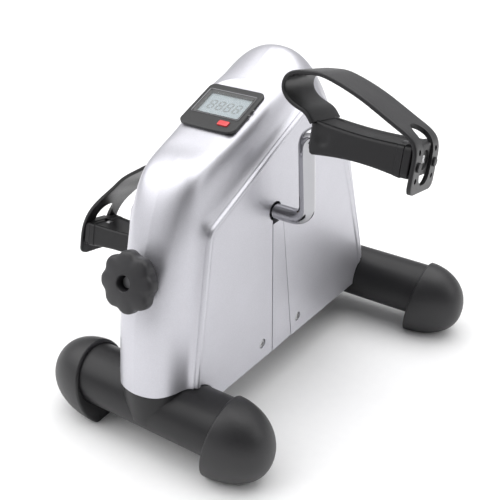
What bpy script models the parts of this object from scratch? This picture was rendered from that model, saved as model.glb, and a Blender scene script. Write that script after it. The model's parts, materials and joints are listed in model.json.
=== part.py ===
"""Mini pedal exerciser, built as separate solids in metres, +Z up, standing on z = 0.

Lengths below are in millimetres and are turned into metres when each mesh is made.
X runs across the machine, the knob faces -Y, and the rear tube is at +Y.
"""

import math

import bmesh
import bpy
import numpy as np

# ---- driving dimensions, mm -------------------------------------------------
GAP = 0.3
SHIFT_Y = 2.25  # moves the middle of the two floor tubes so the whole box is centred
TUBE_R, TUBE_WALL, TUBE_Z, TUBE_Y = 25.0, 2.0, 38.0, 130.6
RIM_X = {"front": 60.7, "rear": 112.3}
CAP_A, CAP_B, CAP_C, CAP_Z, SOCKET = 43.0, 29.5, 37.0, 30.0, 12.0
CRANK_Y, CRANK_Z, ROD_R, ARM_X, BEND_R = -24.8, 171.5, 6.25, 69.5, 12.0
THROW = {1: (-6.8, 74.9), -1: (6.8, -74.9)}
WALL = 2.8
KNOB_TILT = math.radians(18.7)
KNOB_FACE = (0.0, -159.4, 162.6)
CONSOLE_C = (0.0, -35.5, 251.3)
CONSOLE_TILT = math.radians(19.1)
PEDAL_IN, PEDAL_OUT = 79.6, 150.0
PEDAL_TILT = {1: math.radians(-13.0), -1: math.radians(-13.0)}
STRAP_T, STRAP_HALF = 3.0, 22.0
DRUM_R, DRUM_HALF = 46.0, 11.0
PLATE_X, PLATE_T = 20.3, 4.0

SPINE, SHOULDER, RAMP, CROWN, REAR = (2.0, 0.6), (2.3, 0.95), (4.0, 2.0), (2.3, 1.7), (4.0, 2.4)
# each station: outline on the middle plane (y, z), edge of the flat side (y, z), section shape
STATIONS = [
    (-159.6, 38.0, -138.6, 38.0, SPINE), (-158.7, 58.0, -137.0, 58.0, SPINE),
    (-156.2, 84.0, -132.8, 84.0, SPINE), (-152.0, 118.0, -126.2, 118.0, SPINE),
    (-145.4, 142.0, -121.5, 142.0, SPINE), (-137.7, 164.0, -117.2, 164.0, SPINE),
    (-129.2, 186.0, -113.4, 182.0, SHOULDER), (-121.6, 203.0, -111.6, 188.5, SHOULDER),
    (-113.5, 217.0, -108.4, 193.0, SHOULDER), (-106.0, 225.0, -102.5, 196.0, RAMP),
    (-96.0, 230.2, -92.0, 200.4, RAMP), (-80.0, 234.8, -75.0, 207.6, RAMP),
    (-58.0, 240.8, -50.0, 218.3, RAMP), (-34.7, 248.9, -25.0, 229.0, RAMP),
    (-8.0, 258.2, 0.0, 239.7, RAMP), (6.0, 267.0, 10.0, 243.9, CROWN),
    (20.0, 276.0, 20.0, 247.2, CROWN), (31.8, 282.4, 28.0, 248.4, CROWN),
    (41.0, 283.4, 35.0, 247.4, CROWN), (51.0, 279.6, 41.0, 243.6, CROWN),
    (62.0, 271.0, 47.0, 236.0, CROWN), (72.0, 258.0, 54.0, 225.0, CROWN),
    (80.0, 242.0, 62.0, 212.0, CROWN), (86.0, 223.0, 71.0, 197.0, CROWN),
    (91.5, 200.0, 81.0, 180.0, REAR), (98.0, 170.0, 89.0, 163.0, REAR),
    (105.0, 141.0, 98.0, 139.0, REAR), (111.5, 118.0, 105.0, 117.0, REAR),
    (119.5, 90.0, 114.0, 90.0, REAR), (126.0, 64.0, 121.0, 64.0, REAR),
    (131.0, 38.0, 126.0, 38.0, REAR),
]
SECTION_T = (0.0, 0.2, 0.4, 0.58, 0.74, 0.86, 0.94, 0.985, 1.0)
STRAP_PATHS = {
    1: [(82.0, 14.6), (79.2, 19.0), (78.6, 27.0), (79.6, 36.0), (84.0, 41.6), (92.0, 41.0),
        (104.5, 37.0), (117.0, 32.0), (129.0, 26.2), (141.0, 20.0), (151.0, 16.6),
        (156.4, 11.5), (157.9, 2.0), (158.0, -18.5)],
    -1: [(82.0, 14.6), (79.2, 20.0), (78.6, 40.0), (78.8, 66.0), (82.0, 76.0), (89.0, 76.5),
         (98.0, 71.5), (114.0, 60.0), (126.0, 47.5), (137.0, 36.5), (148.0, 24.0),
         (155.6, 13.0), (157.9, 2.0), (158.0, -18.5)],
}

AXIS_X = (1.0, 0.0, 0.0)
COLOURS = {
    "silver": (0.56, 0.57, 0.6, 0.75, 0.35), "black_steel": (0.02, 0.02, 0.022, 0.1, 0.32),
    "black_plastic": (0.03, 0.03, 0.033, 0.0, 0.5), "chrome": (0.75, 0.75, 0.78, 1.0, 0.08),
    "rubber": (0.035, 0.035, 0.035, 0.0, 0.7), "steel": (0.45, 0.45, 0.47, 1.0, 0.35),
    "felt": (0.2, 0.18, 0.15, 0.0, 0.95), "red_plastic": (0.75, 0.03, 0.03, 0.0, 0.35),
    "lcd": (0.45, 0.5, 0.47, 0.0, 0.4), "clear": (0.8, 0.8, 0.8, 0.0, 0.05),
    "board": (0.03, 0.2, 0.08, 0.0, 0.5), "bronze": (0.5, 0.33, 0.12, 1.0, 0.4),
    "iron": (0.12, 0.12, 0.12, 0.9, 0.5),
}


# ---- helpers ------------------------------------------------------------------
def clear_scene():
    for obj in list(bpy.data.objects):
        bpy.data.objects.remove(obj, do_unlink=True)


def material(name):
    found = bpy.data.materials.get(name)
    if found:
        return found
    made = bpy.data.materials.new(name)
    made.use_nodes = True
    shader = made.node_tree.nodes["Principled BSDF"]
    red, green, blue, metal, rough = COLOURS[name]
    shader.inputs["Base Color"].default_value = (red, green, blue, 1.0)
    shader.inputs["Metallic"].default_value = metal
    shader.inputs["Roughness"].default_value = rough
    return made


def add_mesh(name, points, faces, look, origin=(0.0, 0.0, 0.0), smooth=True):
    """One object from points in mm, with its origin at the given point in mm."""
    shift = np.array([0.0, SHIFT_Y, 0.0])
    base = (np.array(origin, float) + shift) * 0.001
    world = (np.asarray(points, float) + shift) * 0.001
    mesh = bpy.data.meshes.new(name)
    mesh.from_pydata((world - base).tolist(), [], [list(face) for face in faces])
    edit = bmesh.new()
    edit.from_mesh(mesh)
    bmesh.ops.recalc_face_normals(edit, faces=edit.faces)
    edit.to_mesh(mesh)
    edit.free()
    mesh.materials.append(material(look))
    obj = bpy.data.objects.new(name, mesh)
    obj.location = base
    bpy.context.scene.collection.objects.link(obj)
    if smooth:
        mesh.shade_smooth()
        mesh.set_sharp_from_angle(angle=math.radians(35))
    return obj


def as_cutter(obj):
    obj.hide_render = True
    obj.display_type = "WIRE"
    return obj


def boolean(obj, other, operation="DIFFERENCE"):
    as_cutter(other)
    modifier = obj.modifiers.new(other.name, "BOOLEAN")
    modifier.operation = operation
    modifier.solver = "EXACT"
    modifier.object = other


def basis(axis):
    """Two unit vectors square to the axis, and the axis."""
    third = np.array(axis, float) / np.linalg.norm(axis)
    helper = np.array([0.0, 0.0, 1.0]) if abs(third[2]) < 0.9 else np.array([0.0, 1.0, 0.0])
    first = np.cross(helper, third)
    first /= np.linalg.norm(first)
    return first, np.cross(third, first), third


def lathe(name, profile, centre, axis, look, steps=24, origin=None, lobes=None):
    """Turns (radius, height) pairs round the axis; a closed loop unless it ends on the axis."""
    first, second, third = basis(axis)
    turn = np.linspace(0, 2 * math.pi, steps, endpoint=False)
    points, rows = [], []
    for index, (radius, height) in enumerate(profile):
        level = np.array(centre, float) + third * height
        if radius < 1e-9:
            rows.append([len(points)])
            points.append(level)
            continue
        size = np.full(steps, radius)
        if lobes and index in lobes[2]:
            size = radius + lobes[1] * np.cos(lobes[0] * turn)
        rows.append(list(range(len(points), len(points) + steps)))
        points += list(level + np.outer(size * np.cos(turn), first)
                       + np.outer(size * np.sin(turn), second))
    pairs = list(zip(rows[:-1], rows[1:]))
    if len(rows[0]) > 1:
        pairs.append((rows[-1], rows[0]))
    faces = []
    for low, high in pairs:
        for i in range(steps):
            j = (i + 1) % steps
            if len(low) == 1:
                faces.append((low[0], high[i], high[j]))
            elif len(high) == 1:
                faces.append((low[i], high[0], low[j]))
            else:
                faces.append((low[i], high[i], high[j], low[j]))
    return add_mesh(name, points, faces, look, origin if origin else centre)


def rod(name, radius, start, end, look, steps=24, origin=None):
    start, end = np.array(start, float), np.array(end, float)
    length = float(np.linalg.norm(end - start))
    profile = [(0, 0), (radius, 0), (radius, length), (0, length)]
    return lathe(name, profile, tuple(start), end - start, look, steps, origin)


def prism(name, outline, place, low, high, look, origin=(0.0, 0.0, 0.0)):
    """Closes a flat outline (a, b) between two heights; place turns (a, b, h) into x, y, z."""
    count = len(outline)
    points = [place(a, b, low) for a, b in outline] + [place(a, b, high) for a, b in outline]
    faces = [tuple(range(count)), tuple(range(count, 2 * count))]
    faces += [(i, (i + 1) % count, count + (i + 1) % count, count + i) for i in range(count)]
    return add_mesh(name, points, faces, look, origin)


def box(name, low, high, look, place=None):
    place = place or (lambda a, b, h: (a, b, h))
    outline = [(low[0], low[1]), (high[0], low[1]), (high[0], high[1]), (low[0], high[1])]
    return prism(name, outline, place, low[2], high[2], look)


def rounded(width, height, radius, steps=4, centre=(0.0, 0.0)):
    """The outline of a rectangle with round corners."""
    outline = []
    for index, (sx, sy) in enumerate(((1, 1), (-1, 1), (-1, -1), (1, -1))):
        cx = centre[0] + sx * (width / 2 - radius)
        cy = centre[1] + sy * (height / 2 - radius)
        for step in range(steps + 1):
            angle = math.radians(90 * index + 90 * step / steps)
            outline.append((cx + radius * math.cos(angle), cy + radius * math.sin(angle)))
    return outline


def sweep(name, path, section, side, look, origin=(0.0, 0.0, 0.0)):
    """Carries a flat section (u, v) along a path that bends in one plane; side is its normal."""
    path = np.array(path, float)
    side = np.array(side, float)
    tangent = np.gradient(path, axis=0)
    tangent /= np.linalg.norm(tangent, axis=1)[:, None]
    across = np.cross(side, tangent)
    across /= np.linalg.norm(across, axis=1)[:, None]
    count = len(section)
    points = []
    for at, out in zip(path, across):
        points += [at + u * out + v * side for u, v in section]
    faces = [tuple(range(count)), tuple(range(len(points) - count, len(points)))]
    for row in range(len(path) - 1):
        a = row * count
        faces += [(a + i, a + (i + 1) % count, a + count + (i + 1) % count, a + count + i)
                  for i in range(count)]
    return add_mesh(name, points, faces, look, origin)


def round_path(corners, radius, steps=5):
    """A polyline with each inner corner turned into an arc of the radius."""
    corners = [np.array(c, float) for c in corners]
    path = [corners[0]]
    for before, corner, after in zip(corners[:-2], corners[1:-1], corners[2:]):
        back = (before - corner) / np.linalg.norm(before - corner)
        ahead = (after - corner) / np.linalg.norm(after - corner)
        half = math.acos(float(np.clip(back @ ahead, -1, 1))) / 2
        cut = radius / math.tan(half)
        middle = (back + ahead) / np.linalg.norm(back + ahead)
        centre = corner + middle * radius / math.sin(half)
        first, last = corner + back * cut - centre, corner + ahead * cut - centre
        span = math.acos(float(np.clip(first @ last / radius**2, -1, 1)))
        for step in range(steps + 1):
            share = step / steps
            path.append(centre + (math.sin((1 - share) * span) * first
                                  + math.sin(share * span) * last) / math.sin(span))
    path.append(corners[-1])
    return path


def smooth_path(corners, count):
    """Evenly spaced points on a Catmull-Rom curve through the corners."""
    knots = np.array([corners[0]] + list(corners) + [corners[-1]], float)
    points = []
    for a, b, c, d in zip(knots[:-3], knots[1:-2], knots[2:-1], knots[3:]):
        for t in np.linspace(0, 1, 12, endpoint=False):
            points.append(0.5 * (2 * b + (c - a) * t + (2 * a - 5 * b + 4 * c - d) * t * t
                                 + (3 * b - a - 3 * c + d) * t**3))
    points = np.array(points + [knots[-1]])
    length = np.concatenate([[0], np.cumsum(np.linalg.norm(np.diff(points, axis=0), axis=1))])
    even = np.linspace(0, length[-1], count)
    return np.stack([np.interp(even, length, points[:, i]) for i in range(2)], axis=1)


def along_x(a, b, h):
    return (h, a, b)


def panel_x(y, z):
    """Half the width of the housing at its flat side."""
    return 44.47 + 0.05 * y - 0.013 * (z - 40.0)


# ---- floor frame ----------------------------------------------------------------
def floor_tube(row, sign):
    half = RIM_X[row] + SOCKET
    profile = [(TUBE_R, -half), (TUBE_R, half), (TUBE_R - TUBE_WALL, half),
               (TUBE_R - TUBE_WALL, -half)]
    lathe(f"{row}_tube", profile, (0, sign * TUBE_Y, TUBE_Z), AXIS_X, "black_steel", 40)


def foot_cap(row, sign, side, word):
    """A ball-like end cap with a flat foot, bored for the tube."""
    base_y = sign * TUBE_Y
    turn = np.linspace(0, 2 * math.pi, 28, endpoint=False)
    points, rows = [], []
    for swing in (0.0, 14.0, 28.0, 42.0, 56.0, 70.0, 82.0):
        ring = math.cos(math.radians(swing)) ** 0.85
        out = CAP_A * math.sin(math.radians(swing))
        rows.append(list(range(len(points), len(points) + len(turn))))
        for angle in turn:
            z = max(0.0, CAP_Z + CAP_C * ring * math.sin(angle))
            y = base_y + CAP_B * ring * math.cos(angle)
            lean = (z - TUBE_Z) * 0.17 * (1 - math.sin(math.radians(swing)))
            points.append((side * (RIM_X[row] + out + lean), y, z))
    rows.append([len(points)])
    points.append((side * (RIM_X[row] + CAP_A), base_y, CAP_Z))
    count = len(turn)
    faces = [tuple(rows[0])]
    for low, high in zip(rows[:-1], rows[1:]):
        for i in range(count):
            j = (i + 1) % count
            last = high[0] if len(high) == 1 else None
            faces.append((low[i], low[j], last) if last is not None
                         else (low[i], low[j], high[j], high[i]))
    name = f"foot_cap_{row}_{word}"
    cap = add_mesh(name, points, faces, "black_plastic")
    depth = RIM_X[row] + SOCKET + GAP
    boolean(cap, rod(f"cut_{name}", TUBE_R + GAP, (side * 30, base_y, TUBE_Z),
                     (side * depth, base_y, TUBE_Z), "black_plastic", 40))


def base_rail():
    rail = box("base_rail", (-20, -105.2, 28), (20, 105.2, 48), "black_steel")
    for y in (-45.0, -5.0):
        boolean(rail, rod(f"cut_rail_{int(-y)}", 4.0 + GAP, (-60, y, TUBE_Z), (60, y, TUBE_Z),
                          "black_steel", 20))


def bearing_plate(side, word):
    outline = [(-62, 30), (22, 30), (42, 178), (42, 203), (-42, 203), (-47, 160)]
    low, high = side * PLATE_X, side * (PLATE_X + PLATE_T)
    plate = prism(f"bearing_plate_{word}", outline, along_x, min(low, high), max(low, high),
                  "steel")
    holes = [(CRANK_Y, CRANK_Z, 10 + GAP)] + [(y, TUBE_Z, 4 + GAP) for y in (-45.0, -5.0)]
    holes.append(anchor_point() + (4 + GAP,))
    for index, (y, z, radius) in enumerate(holes):
        boolean(plate, rod(f"cut_plate_{word}_{index}", radius, (-60, y, z), (60, y, z),
                           "steel", 24))


def bearing_bush(side, word):
    profile = [(ROD_R + 0.1, 16.8), (13, 16.8), (13, 20.0), (10, 20.0), (10, 25.6),
               (ROD_R + 0.1, 25.6)]
    lathe(f"bearing_bush_{word}", profile, (0, CRANK_Y, CRANK_Z), (side, 0, 0), "bronze", 24)


def plate_bolt(word, y):
    """A bolt through both plates and the rail, with its head at +X and its nut at -X."""
    profile = [(0, -32.5), (4, -32.5), (4, -31), (7, -31), (7, -24.7), (4, -24.7), (4, 24.7),
               (7, 24.7), (7, 30), (0, 30)]
    lathe(f"plate_bolt_{word}", profile, (0, y, TUBE_Z), AXIS_X, "steel", 18)


# ---- housing ---------------------------------------------------------------------
def housing_solid(name, inset):
    """The closed body of the housing, or with an inset its inner hollow, open below."""
    line = np.array([s[:2] for s in STATIONS])
    edge = np.array([s[2:4] for s in STATIONS])
    tangent = np.gradient(line, axis=0)
    tangent /= np.linalg.norm(tangent, axis=1)[:, None]
    inward = np.stack([tangent[:, 1], -tangent[:, 0]], axis=1)
    line = line + inward * inset
    edge = edge + inward * min(inset, 0.8)
    if inset:
        line[[0, -1], 1] = 30.0
        edge[[0, -1], 1] = 30.0
    rows, points = [], []
    for station, at, side in zip(STATIONS, line, edge):
        power, root = station[4]
        half = panel_x(*side) - inset
        row = []
        for t in [-t for t in SECTION_T[:0:-1]] + list(SECTION_T):
            depth = 1 - (1 - abs(t) ** power) ** (1 / root)
            y, z = at + (side - at) * depth
            row.append(len(points))
            points.append((t * half, y, z))
        rows.append(row)
    faces = []
    for low, high in zip(rows[:-1], rows[1:]):
        faces += [(low[i], low[i + 1], high[i + 1], high[i]) for i in range(len(low) - 1)]
    faces.append(tuple(row[0] for row in rows))
    faces.append(tuple(row[-1] for row in rows))
    faces.append(tuple(rows[0]) + tuple(rows[-1][::-1]))
    return add_mesh(name, points, faces, "silver")


def slot_outline(gap):
    return [(-29.0 + gap, 30.0), (1.1 - gap, 30.0), (-14.0 - gap, 162.0), (-19.0, 171.5),
            (-28.0, 171.5), (-28.6 + gap, 160.0)]


def housing_shell():
    shell = housing_solid("housing_shell", 0.0)
    boolean(shell, housing_solid("cut_hollow", WALL))
    for sign in (-1, 1):
        boolean(shell, rod(f"cut_tube_{sign + 1}", 27.5, (-90, sign * TUBE_Y, TUBE_Z),
                           (90, sign * TUBE_Y, TUBE_Z), "silver", 40))
    boolean(shell, box("cut_toe", (-60, -190, 20), (60, -TUBE_Y, 63.6), "silver"))
    boolean(shell, prism("cut_slot", slot_outline(0.0), along_x, -70, 70, "silver"))
    boolean(shell, rod("cut_crank", 8.0, (-70, CRANK_Y, CRANK_Z), (70, CRANK_Y, CRANK_Z),
                       "silver", 32))
    for index, (y, z) in enumerate(SCREWS):
        boolean(shell, rod(f"cut_screw_{index}", 2.3, (-70, y, z), (70, y, z), "silver", 16))
        for side in (-1, 1):
            start = panel_x(y, z) - 1.6
            boolean(shell, rod(f"cut_head_{index}_{side + 1}", 4.2, (side * start, y, z),
                               (side * 70, y, z), "silver", 20))
    boolean(shell, prism("cut_console", rounded(44, 44, 3), console_place, -30, 20, "silver"))
    boolean(shell, rod("cut_knob", 6.5, knob_point(80), knob_point(135), "silver", 24))


SCREWS = ((-42.5, 53.8), (9.6, 52.6))


def panel_prism(name, outline, deep, shallow, side, look):
    """A plate parallel to the housing's flat side, between two depths below its face."""
    def place(a, b, h):
        return (side * (panel_x(a, b) + h), a, b)
    return prism(name, outline, place, deep, shallow, look)


def slot_cover(side, word):
    outline = [(-29.0 + GAP, 38.2), (1.1 - 0.9 - GAP, 38.2), (-13.9 - GAP, 161.0),
               (-28.5 + GAP, 161.0)]
    cover = panel_prism(f"slot_cover_{word}", outline, -5.4, 0.0, side, "silver")
    flange = [(-50, 43), (17, 43), (17, 62), (-4, 70), (-20, 120), (-28, 120), (-34, 70),
              (-50, 62)]
    boolean(cover, panel_prism(f"cut_flange_{word}", flange, -5.9, -WALL - 0.5, side,
                               "silver"), "UNION")
    boolean(cover, rod(f"cut_rim_{word}", 8.0, (side * 30, CRANK_Y, CRANK_Z),
                       (side * 60, CRANK_Y, CRANK_Z), "silver", 32))
    for index, (y, z) in enumerate(SCREWS):
        boolean(cover, rod(f"cut_cover_{word}_{index}", 2.3, (side * 30, y, z),
                           (side * 60, y, z), "silver", 16))


def shell_screw(side, word, index):
    y, z = SCREWS[index]
    top = panel_x(y, z)
    profile = [(0, top - 10), (1.9, top - 10), (1.9, top - 1.35), (3.8, top - 1.35),
               (3.6, top - 0.3), (2.2, top - 0.2), (0, top - 0.2)]
    lathe(f"shell_screw_{('front', 'rear')[index]}_{word}", profile, (0, y, z),
          (side, 0, 0), "steel", 16)


# ---- crank and brake ----------------------------------------------------------------
def spindle_at(side):
    lean, rise = THROW[side]
    return CRANK_Y + lean, CRANK_Z + rise


def crank():
    (right_y, right_z), (left_y, left_z) = spindle_at(1), spindle_at(-1)
    corners = [(146, right_y, right_z), (ARM_X, right_y, right_z), (ARM_X, CRANK_Y, CRANK_Z),
               (-ARM_X, CRANK_Y, CRANK_Z), (-ARM_X, left_y, left_z), (-146, left_y, left_z)]
    turn = np.linspace(0, 2 * math.pi, 24, endpoint=False)
    section = [(ROD_R * math.cos(a), ROD_R * math.sin(a)) for a in turn]
    lean, rise = THROW[1]
    side = np.cross(AXIS_X, (0, lean, rise))
    sweep("crank", round_path(corners, BEND_R), section, side / np.linalg.norm(side), "chrome",
          (0, CRANK_Y, CRANK_Z))


def brake_drum():
    profile = [(ROD_R + GAP, -DRUM_HALF), (14, -DRUM_HALF), (14, -3), (40, -3),
               (40, -DRUM_HALF), (DRUM_R, -DRUM_HALF), (DRUM_R, DRUM_HALF), (40, DRUM_HALF),
               (40, 3), (14, 3), (14, DRUM_HALF), (ROD_R + GAP, DRUM_HALF)]
    centre = (0, CRANK_Y, CRANK_Z)
    drum = lathe("brake_drum", profile, centre, AXIS_X, "iron", 40)
    boolean(drum, rod("cut_set_screw", 2.8, (7, CRANK_Y, CRANK_Z), (7, CRANK_Y, CRANK_Z - 22),
                      "iron", 16))
    rod("drum_set_screw", 2.5, (7, CRANK_Y, CRANK_Z - ROD_R - GAP),
        (7, CRANK_Y, CRANK_Z - 17), "steel", 12, centre)
    rod("pickup_magnet", 4.0, (3 + GAP, CRANK_Y, CRANK_Z + 27), (9, CRANK_Y, CRANK_Z + 27),
        "steel", 16, centre)


def reed_sensor():
    box("reed_sensor", (11.6, CRANK_Y - 6, CRANK_Z + 20), (20, CRANK_Y + 6, CRANK_Z + 31),
        "black_plastic")


BAND_R, ANCHOR_ANGLE = 49.2, 20.0


def anchor_point():
    angle = math.radians(ANCHOR_ANGLE)
    reach = BAND_R + 4.9
    return CRANK_Y + reach * math.cos(angle), CRANK_Z + reach * math.sin(angle)


def screw_frame(a, b, h):
    """a runs along the tension screw towards the knob, b towards the crank, h across."""
    foot_y, foot_z = -41.3, 122.6
    cos, sin = math.cos(KNOB_TILT), math.sin(KNOB_TILT)
    return (h, foot_y - a * cos + b * sin, foot_z + a * sin + b * cos)


def knob_point(a):
    return screw_frame(a, 0, 0)


def brake_band():
    """A spring-steel band: straight tail, wrap round the drum, and a curl on the anchor pin."""
    path = [np.array(screw_frame(a, 51.6 - BAND_R, 0)) for a in (37, 28, 18, 9)]
    start = math.degrees(math.atan2(-math.cos(KNOB_TILT), -math.sin(KNOB_TILT))) + 360
    for angle in np.linspace(start, 360 + ANCHOR_ANGLE, 20):
        turn = math.radians(angle)
        path.append(np.array([0, CRANK_Y + BAND_R * math.cos(turn),
                              CRANK_Z + BAND_R * math.sin(turn)]))
    pin_y, pin_z = anchor_point()
    for angle in np.linspace(ANCHOR_ANGLE + 180, ANCHOR_ANGLE - 60, 12)[1:]:
        turn = math.radians(angle)
        path.append(np.array([0, pin_y + 4.9 * math.cos(turn), pin_z + 4.9 * math.sin(turn)]))
    section = [(-0.4, -9), (0.4, -9), (0.4, 9), (-0.4, 9)]
    sweep("brake_band", path, section, AXIS_X, "steel")
    rod("band_anchor_pin", 4.0, (-27, pin_y, pin_z), (27, pin_y, pin_z), "steel", 18)


def felt_lining():
    path = []
    for angle in np.linspace(262, 368, 18):
        turn = math.radians(angle)
        path.append((0, CRANK_Y + 47.4 * math.cos(turn), CRANK_Z + 47.4 * math.sin(turn)))
    sweep("felt_lining", path, [(-1, -8), (1, -8), (1, 8), (-1, 8)], AXIS_X, "felt")


def tension_parts():
    rod("tension_screw", 4.0, knob_point(44.5), knob_point(119.5), "steel", 24,
        KNOB_FACE)
    block = prism("tension_block", [(31, -7), (59, -7), (59, 7), (31, 7), (31, 3.2),
                                    (38.5, 3.2), (38.5, 1.6), (31, 1.6)],
                  screw_frame, -8, 8, "steel", knob_point(45))
    boolean(block, rod("cut_block", 4.0 + GAP, knob_point(39.5), knob_point(70), "steel", 24))
    prism("tension_guide", [(-20, -10.3), (20, -10.3), (20, 6), (17, 6), (17, -7.4),
                            (-17, -7.4), (-17, 6), (-20, 6)],
          lambda a, b, h: screw_frame(h, b, a), -12, 66, "steel")


def tension_knob():
    profile = [(4 + GAP, 105.2), (16, 105.2), (16.5, 108.4), (20.2, 109.4), (22.2, 111.5),
               (21.4, 113.0), (22.4, 114.5), (22.6, 119.5), (21, 122.6), (17, 124.2),
               (6.4, 125.2), (5.25, 124.4), (5.25, 116), (4 + GAP, 116)]
    foot = knob_point(0)
    direction = np.array(knob_point(1)) - np.array(foot)
    lathe("tension_knob", profile, foot, direction, "black_plastic", 48, KNOB_FACE,
          (8, 1.3, (4, 5, 6, 7, 8)))


# ---- console ------------------------------------------------------------------------
def console_place(a, b, h):
    """a across, b up the slope, h out of the console's face."""
    cos, sin = math.cos(CONSOLE_TILT), math.sin(CONSOLE_TILT)
    return (a + CONSOLE_C[0], CONSOLE_C[1] + b * cos - h * sin,
            CONSOLE_C[2] + b * sin + h * cos)


def console():
    case = prism("console_case", rounded(43.2, 43.2, 3), console_place, -18, -2.5,
                 "black_plastic")
    boolean(case, prism("cut_case", rounded(40.2, 40.4, 2), console_place, -16, 10,
                        "black_plastic"))
    bezel = prism("console_bezel", rounded(49.4, 48.9, 6), console_place, -2.1, 0.0,
                  "black_plastic")
    boolean(bezel, prism("cut_window", rounded(38.6, 24.6, 1.5, centre=(-0.4, 3.6)),
                         console_place, -12, 12, "black_plastic"))
    boolean(bezel, prism("cut_button", rounded(9.6, 5.6, 1.2, centre=(11.8, -17)),
                         console_place, -12, 12, "black_plastic"))
    prism("console_lens", rounded(38.0, 24.0, 1.2, centre=(-0.4, 3.6)), console_place,
          -1.8, -0.8, "clear")
    prism("lcd_panel", rounded(37.6, 24.0, 0.8, centre=(-0.4, 3.6)), console_place,
          -5.2, -2.2, "lcd")
    prism("circuit_board", rounded(38.4, 34.4, 1.0), console_place, -9.0, -7.4, "board")
    lathe("button_cell", [(0, -12.6), (5.8, -12.6), (5.8, -9.3), (0, -9.3)],
          console_place(-8, 0, 0), console_normal(), "steel", 24)
    prism("reset_button", rounded(9.0, 5.0, 1.0, centre=(11.8, -17)), console_place,
          -5.4, 1.2, "red_plastic", console_place(11.8, -17, 0))


def console_normal():
    return (0.0, -math.sin(CONSOLE_TILT), math.cos(CONSOLE_TILT))


# ---- pedals -------------------------------------------------------------------------
def pedal_frame(side):
    centre_y, centre_z = spindle_at(side)
    cos, sin = math.cos(PEDAL_TILT[side]), math.sin(PEDAL_TILT[side])

    def place(a, b, h):
        return (side * h, centre_y + a * cos - b * sin, centre_z + a * sin + b * cos)
    return place


def pedal(side, word):
    """The foot rest: a rounded bar, wider outward, with a shallow saddle on top."""
    place = pedal_frame(side)
    centre = (0,) + spindle_at(side)
    points, rows = [], []
    for share in (0.0, 0.05, 0.25, 0.5, 0.75, 0.95, 1.0):
        along = PEDAL_IN + share * (PEDAL_OUT - PEDAL_IN)
        wide = 16.0 + 4.0 * share - (1.5 if share in (0.0, 1.0) else 0)
        tall = 12.2 - (1.5 if share in (0.0, 1.0) else 0)
        dip = 1.6 * math.sin(math.pi * share)
        row = []
        for angle in np.linspace(0, 2 * math.pi, 24, endpoint=False):
            cos, sin = math.cos(angle), math.sin(angle)
            a = wide * math.copysign(abs(cos) ** 0.5, cos)
            b = tall * math.copysign(abs(sin) ** 0.5, sin)
            if b > 0:
                b *= 1 - dip / tall
            row.append(len(points))
            points.append(place(a, b, along))
        rows.append(row)
    faces = [tuple(rows[0]), tuple(rows[-1])]
    for low, high in zip(rows[:-1], rows[1:]):
        faces += [(low[i], low[(i + 1) % 24], high[(i + 1) % 24], high[i]) for i in range(24)]
    body = add_mesh(f"pedal_{word}", points, faces, "black_plastic", centre)
    axle = spindle_at(side)
    boolean(body, rod(f"cut_bore_{word}", ROD_R + 0.1, (side * 70,) + axle,
                      (side * 141.3,) + axle, "black_plastic", 24))
    boolean(body, rod(f"cut_mouth_{word}", 8.4, (side * 70,) + axle,
                      (side * 83.0,) + axle, "black_plastic", 24))
    boolean(body, rod(f"cut_pocket_{word}", 9.2, (side * 141.0,) + axle,
                      (side * 160,) + axle, "black_plastic", 24))


def pedal_end_cap(side, word):
    place = pedal_frame(side)
    cap = prism(f"pedal_end_cap_{word}", rounded(38.0, 21.5, 9), place, PEDAL_OUT + GAP,
                153.4, "black_plastic", (0,) + spindle_at(side))
    for index, a in enumerate((-14.0, 14.0)):
        stud = rod(f"cut_stud_{word}_{index}", 2.4, place(a, -5, 152.0), place(a, -5, 161.5),
                   "black_plastic", 16)
        boolean(cap, stud, "UNION")


def spindle_clip(side, word):
    profile = [(ROD_R + GAP, 142.2), (8.4, 142.2), (8.4, 145.4), (ROD_R + GAP, 145.4)]
    lathe(f"spindle_clip_{word}", profile, (0,) + spindle_at(side), (side, 0, 0), "steel", 24,
          (0, CRANK_Y, CRANK_Z))


def strap(side, word):
    """A rubber foot strap, with two holes for the studs of the pedal's end cap."""
    place = pedal_frame(side)
    path = [place(0, b, h) for h, b in smooth_path(STRAP_PATHS[side], 34)]
    half = STRAP_T / 2
    section = [(-half, -STRAP_HALF), (half, -STRAP_HALF), (half, STRAP_HALF),
               (-half, STRAP_HALF)]
    across = np.array(place(1, 0, 0)) - np.array(place(0, 0, 0))
    band = sweep(f"strap_{word}", path, section, across, "rubber", (0,) + spindle_at(side))
    for index, a in enumerate((-14.0, 14.0)):
        boolean(band, rod(f"cut_hole_{word}_{index}", 3.0, place(a, -5, 150.5),
                          place(a, -5, 170), "rubber", 16))


def main():
    clear_scene()
    for row, sign in (("front", -1), ("rear", 1)):
        floor_tube(row, sign)
        for side, word in ((1, "right"), (-1, "left")):
            foot_cap(row, sign, side, word)
    base_rail()
    plate_bolt("front", -45.0)
    plate_bolt("rear", -5.0)
    housing_shell()
    crank()
    brake_drum()
    reed_sensor()
    brake_band()
    felt_lining()
    tension_parts()
    tension_knob()
    console()
    for side, word in ((1, "right"), (-1, "left")):
        bearing_plate(side, word)
        bearing_bush(side, word)
        slot_cover(side, word)
        shell_screw(side, word, 0)
        shell_screw(side, word, 1)
        pedal(side, word)
        pedal_end_cap(side, word)
        spindle_clip(side, word)
        strap(side, word)


main()
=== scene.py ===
"""Visual model of a small pedal exerciser, dressed over its CAD frame.

Lengths in the classes are millimetres, with y measured from the middle of the two floor
tubes. Each mesh is moved by SHIFT_Y and turned into metres when it is made.
"""

import json
import logging
import math
import sys
from dataclasses import dataclass, field
from enum import Enum

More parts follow.
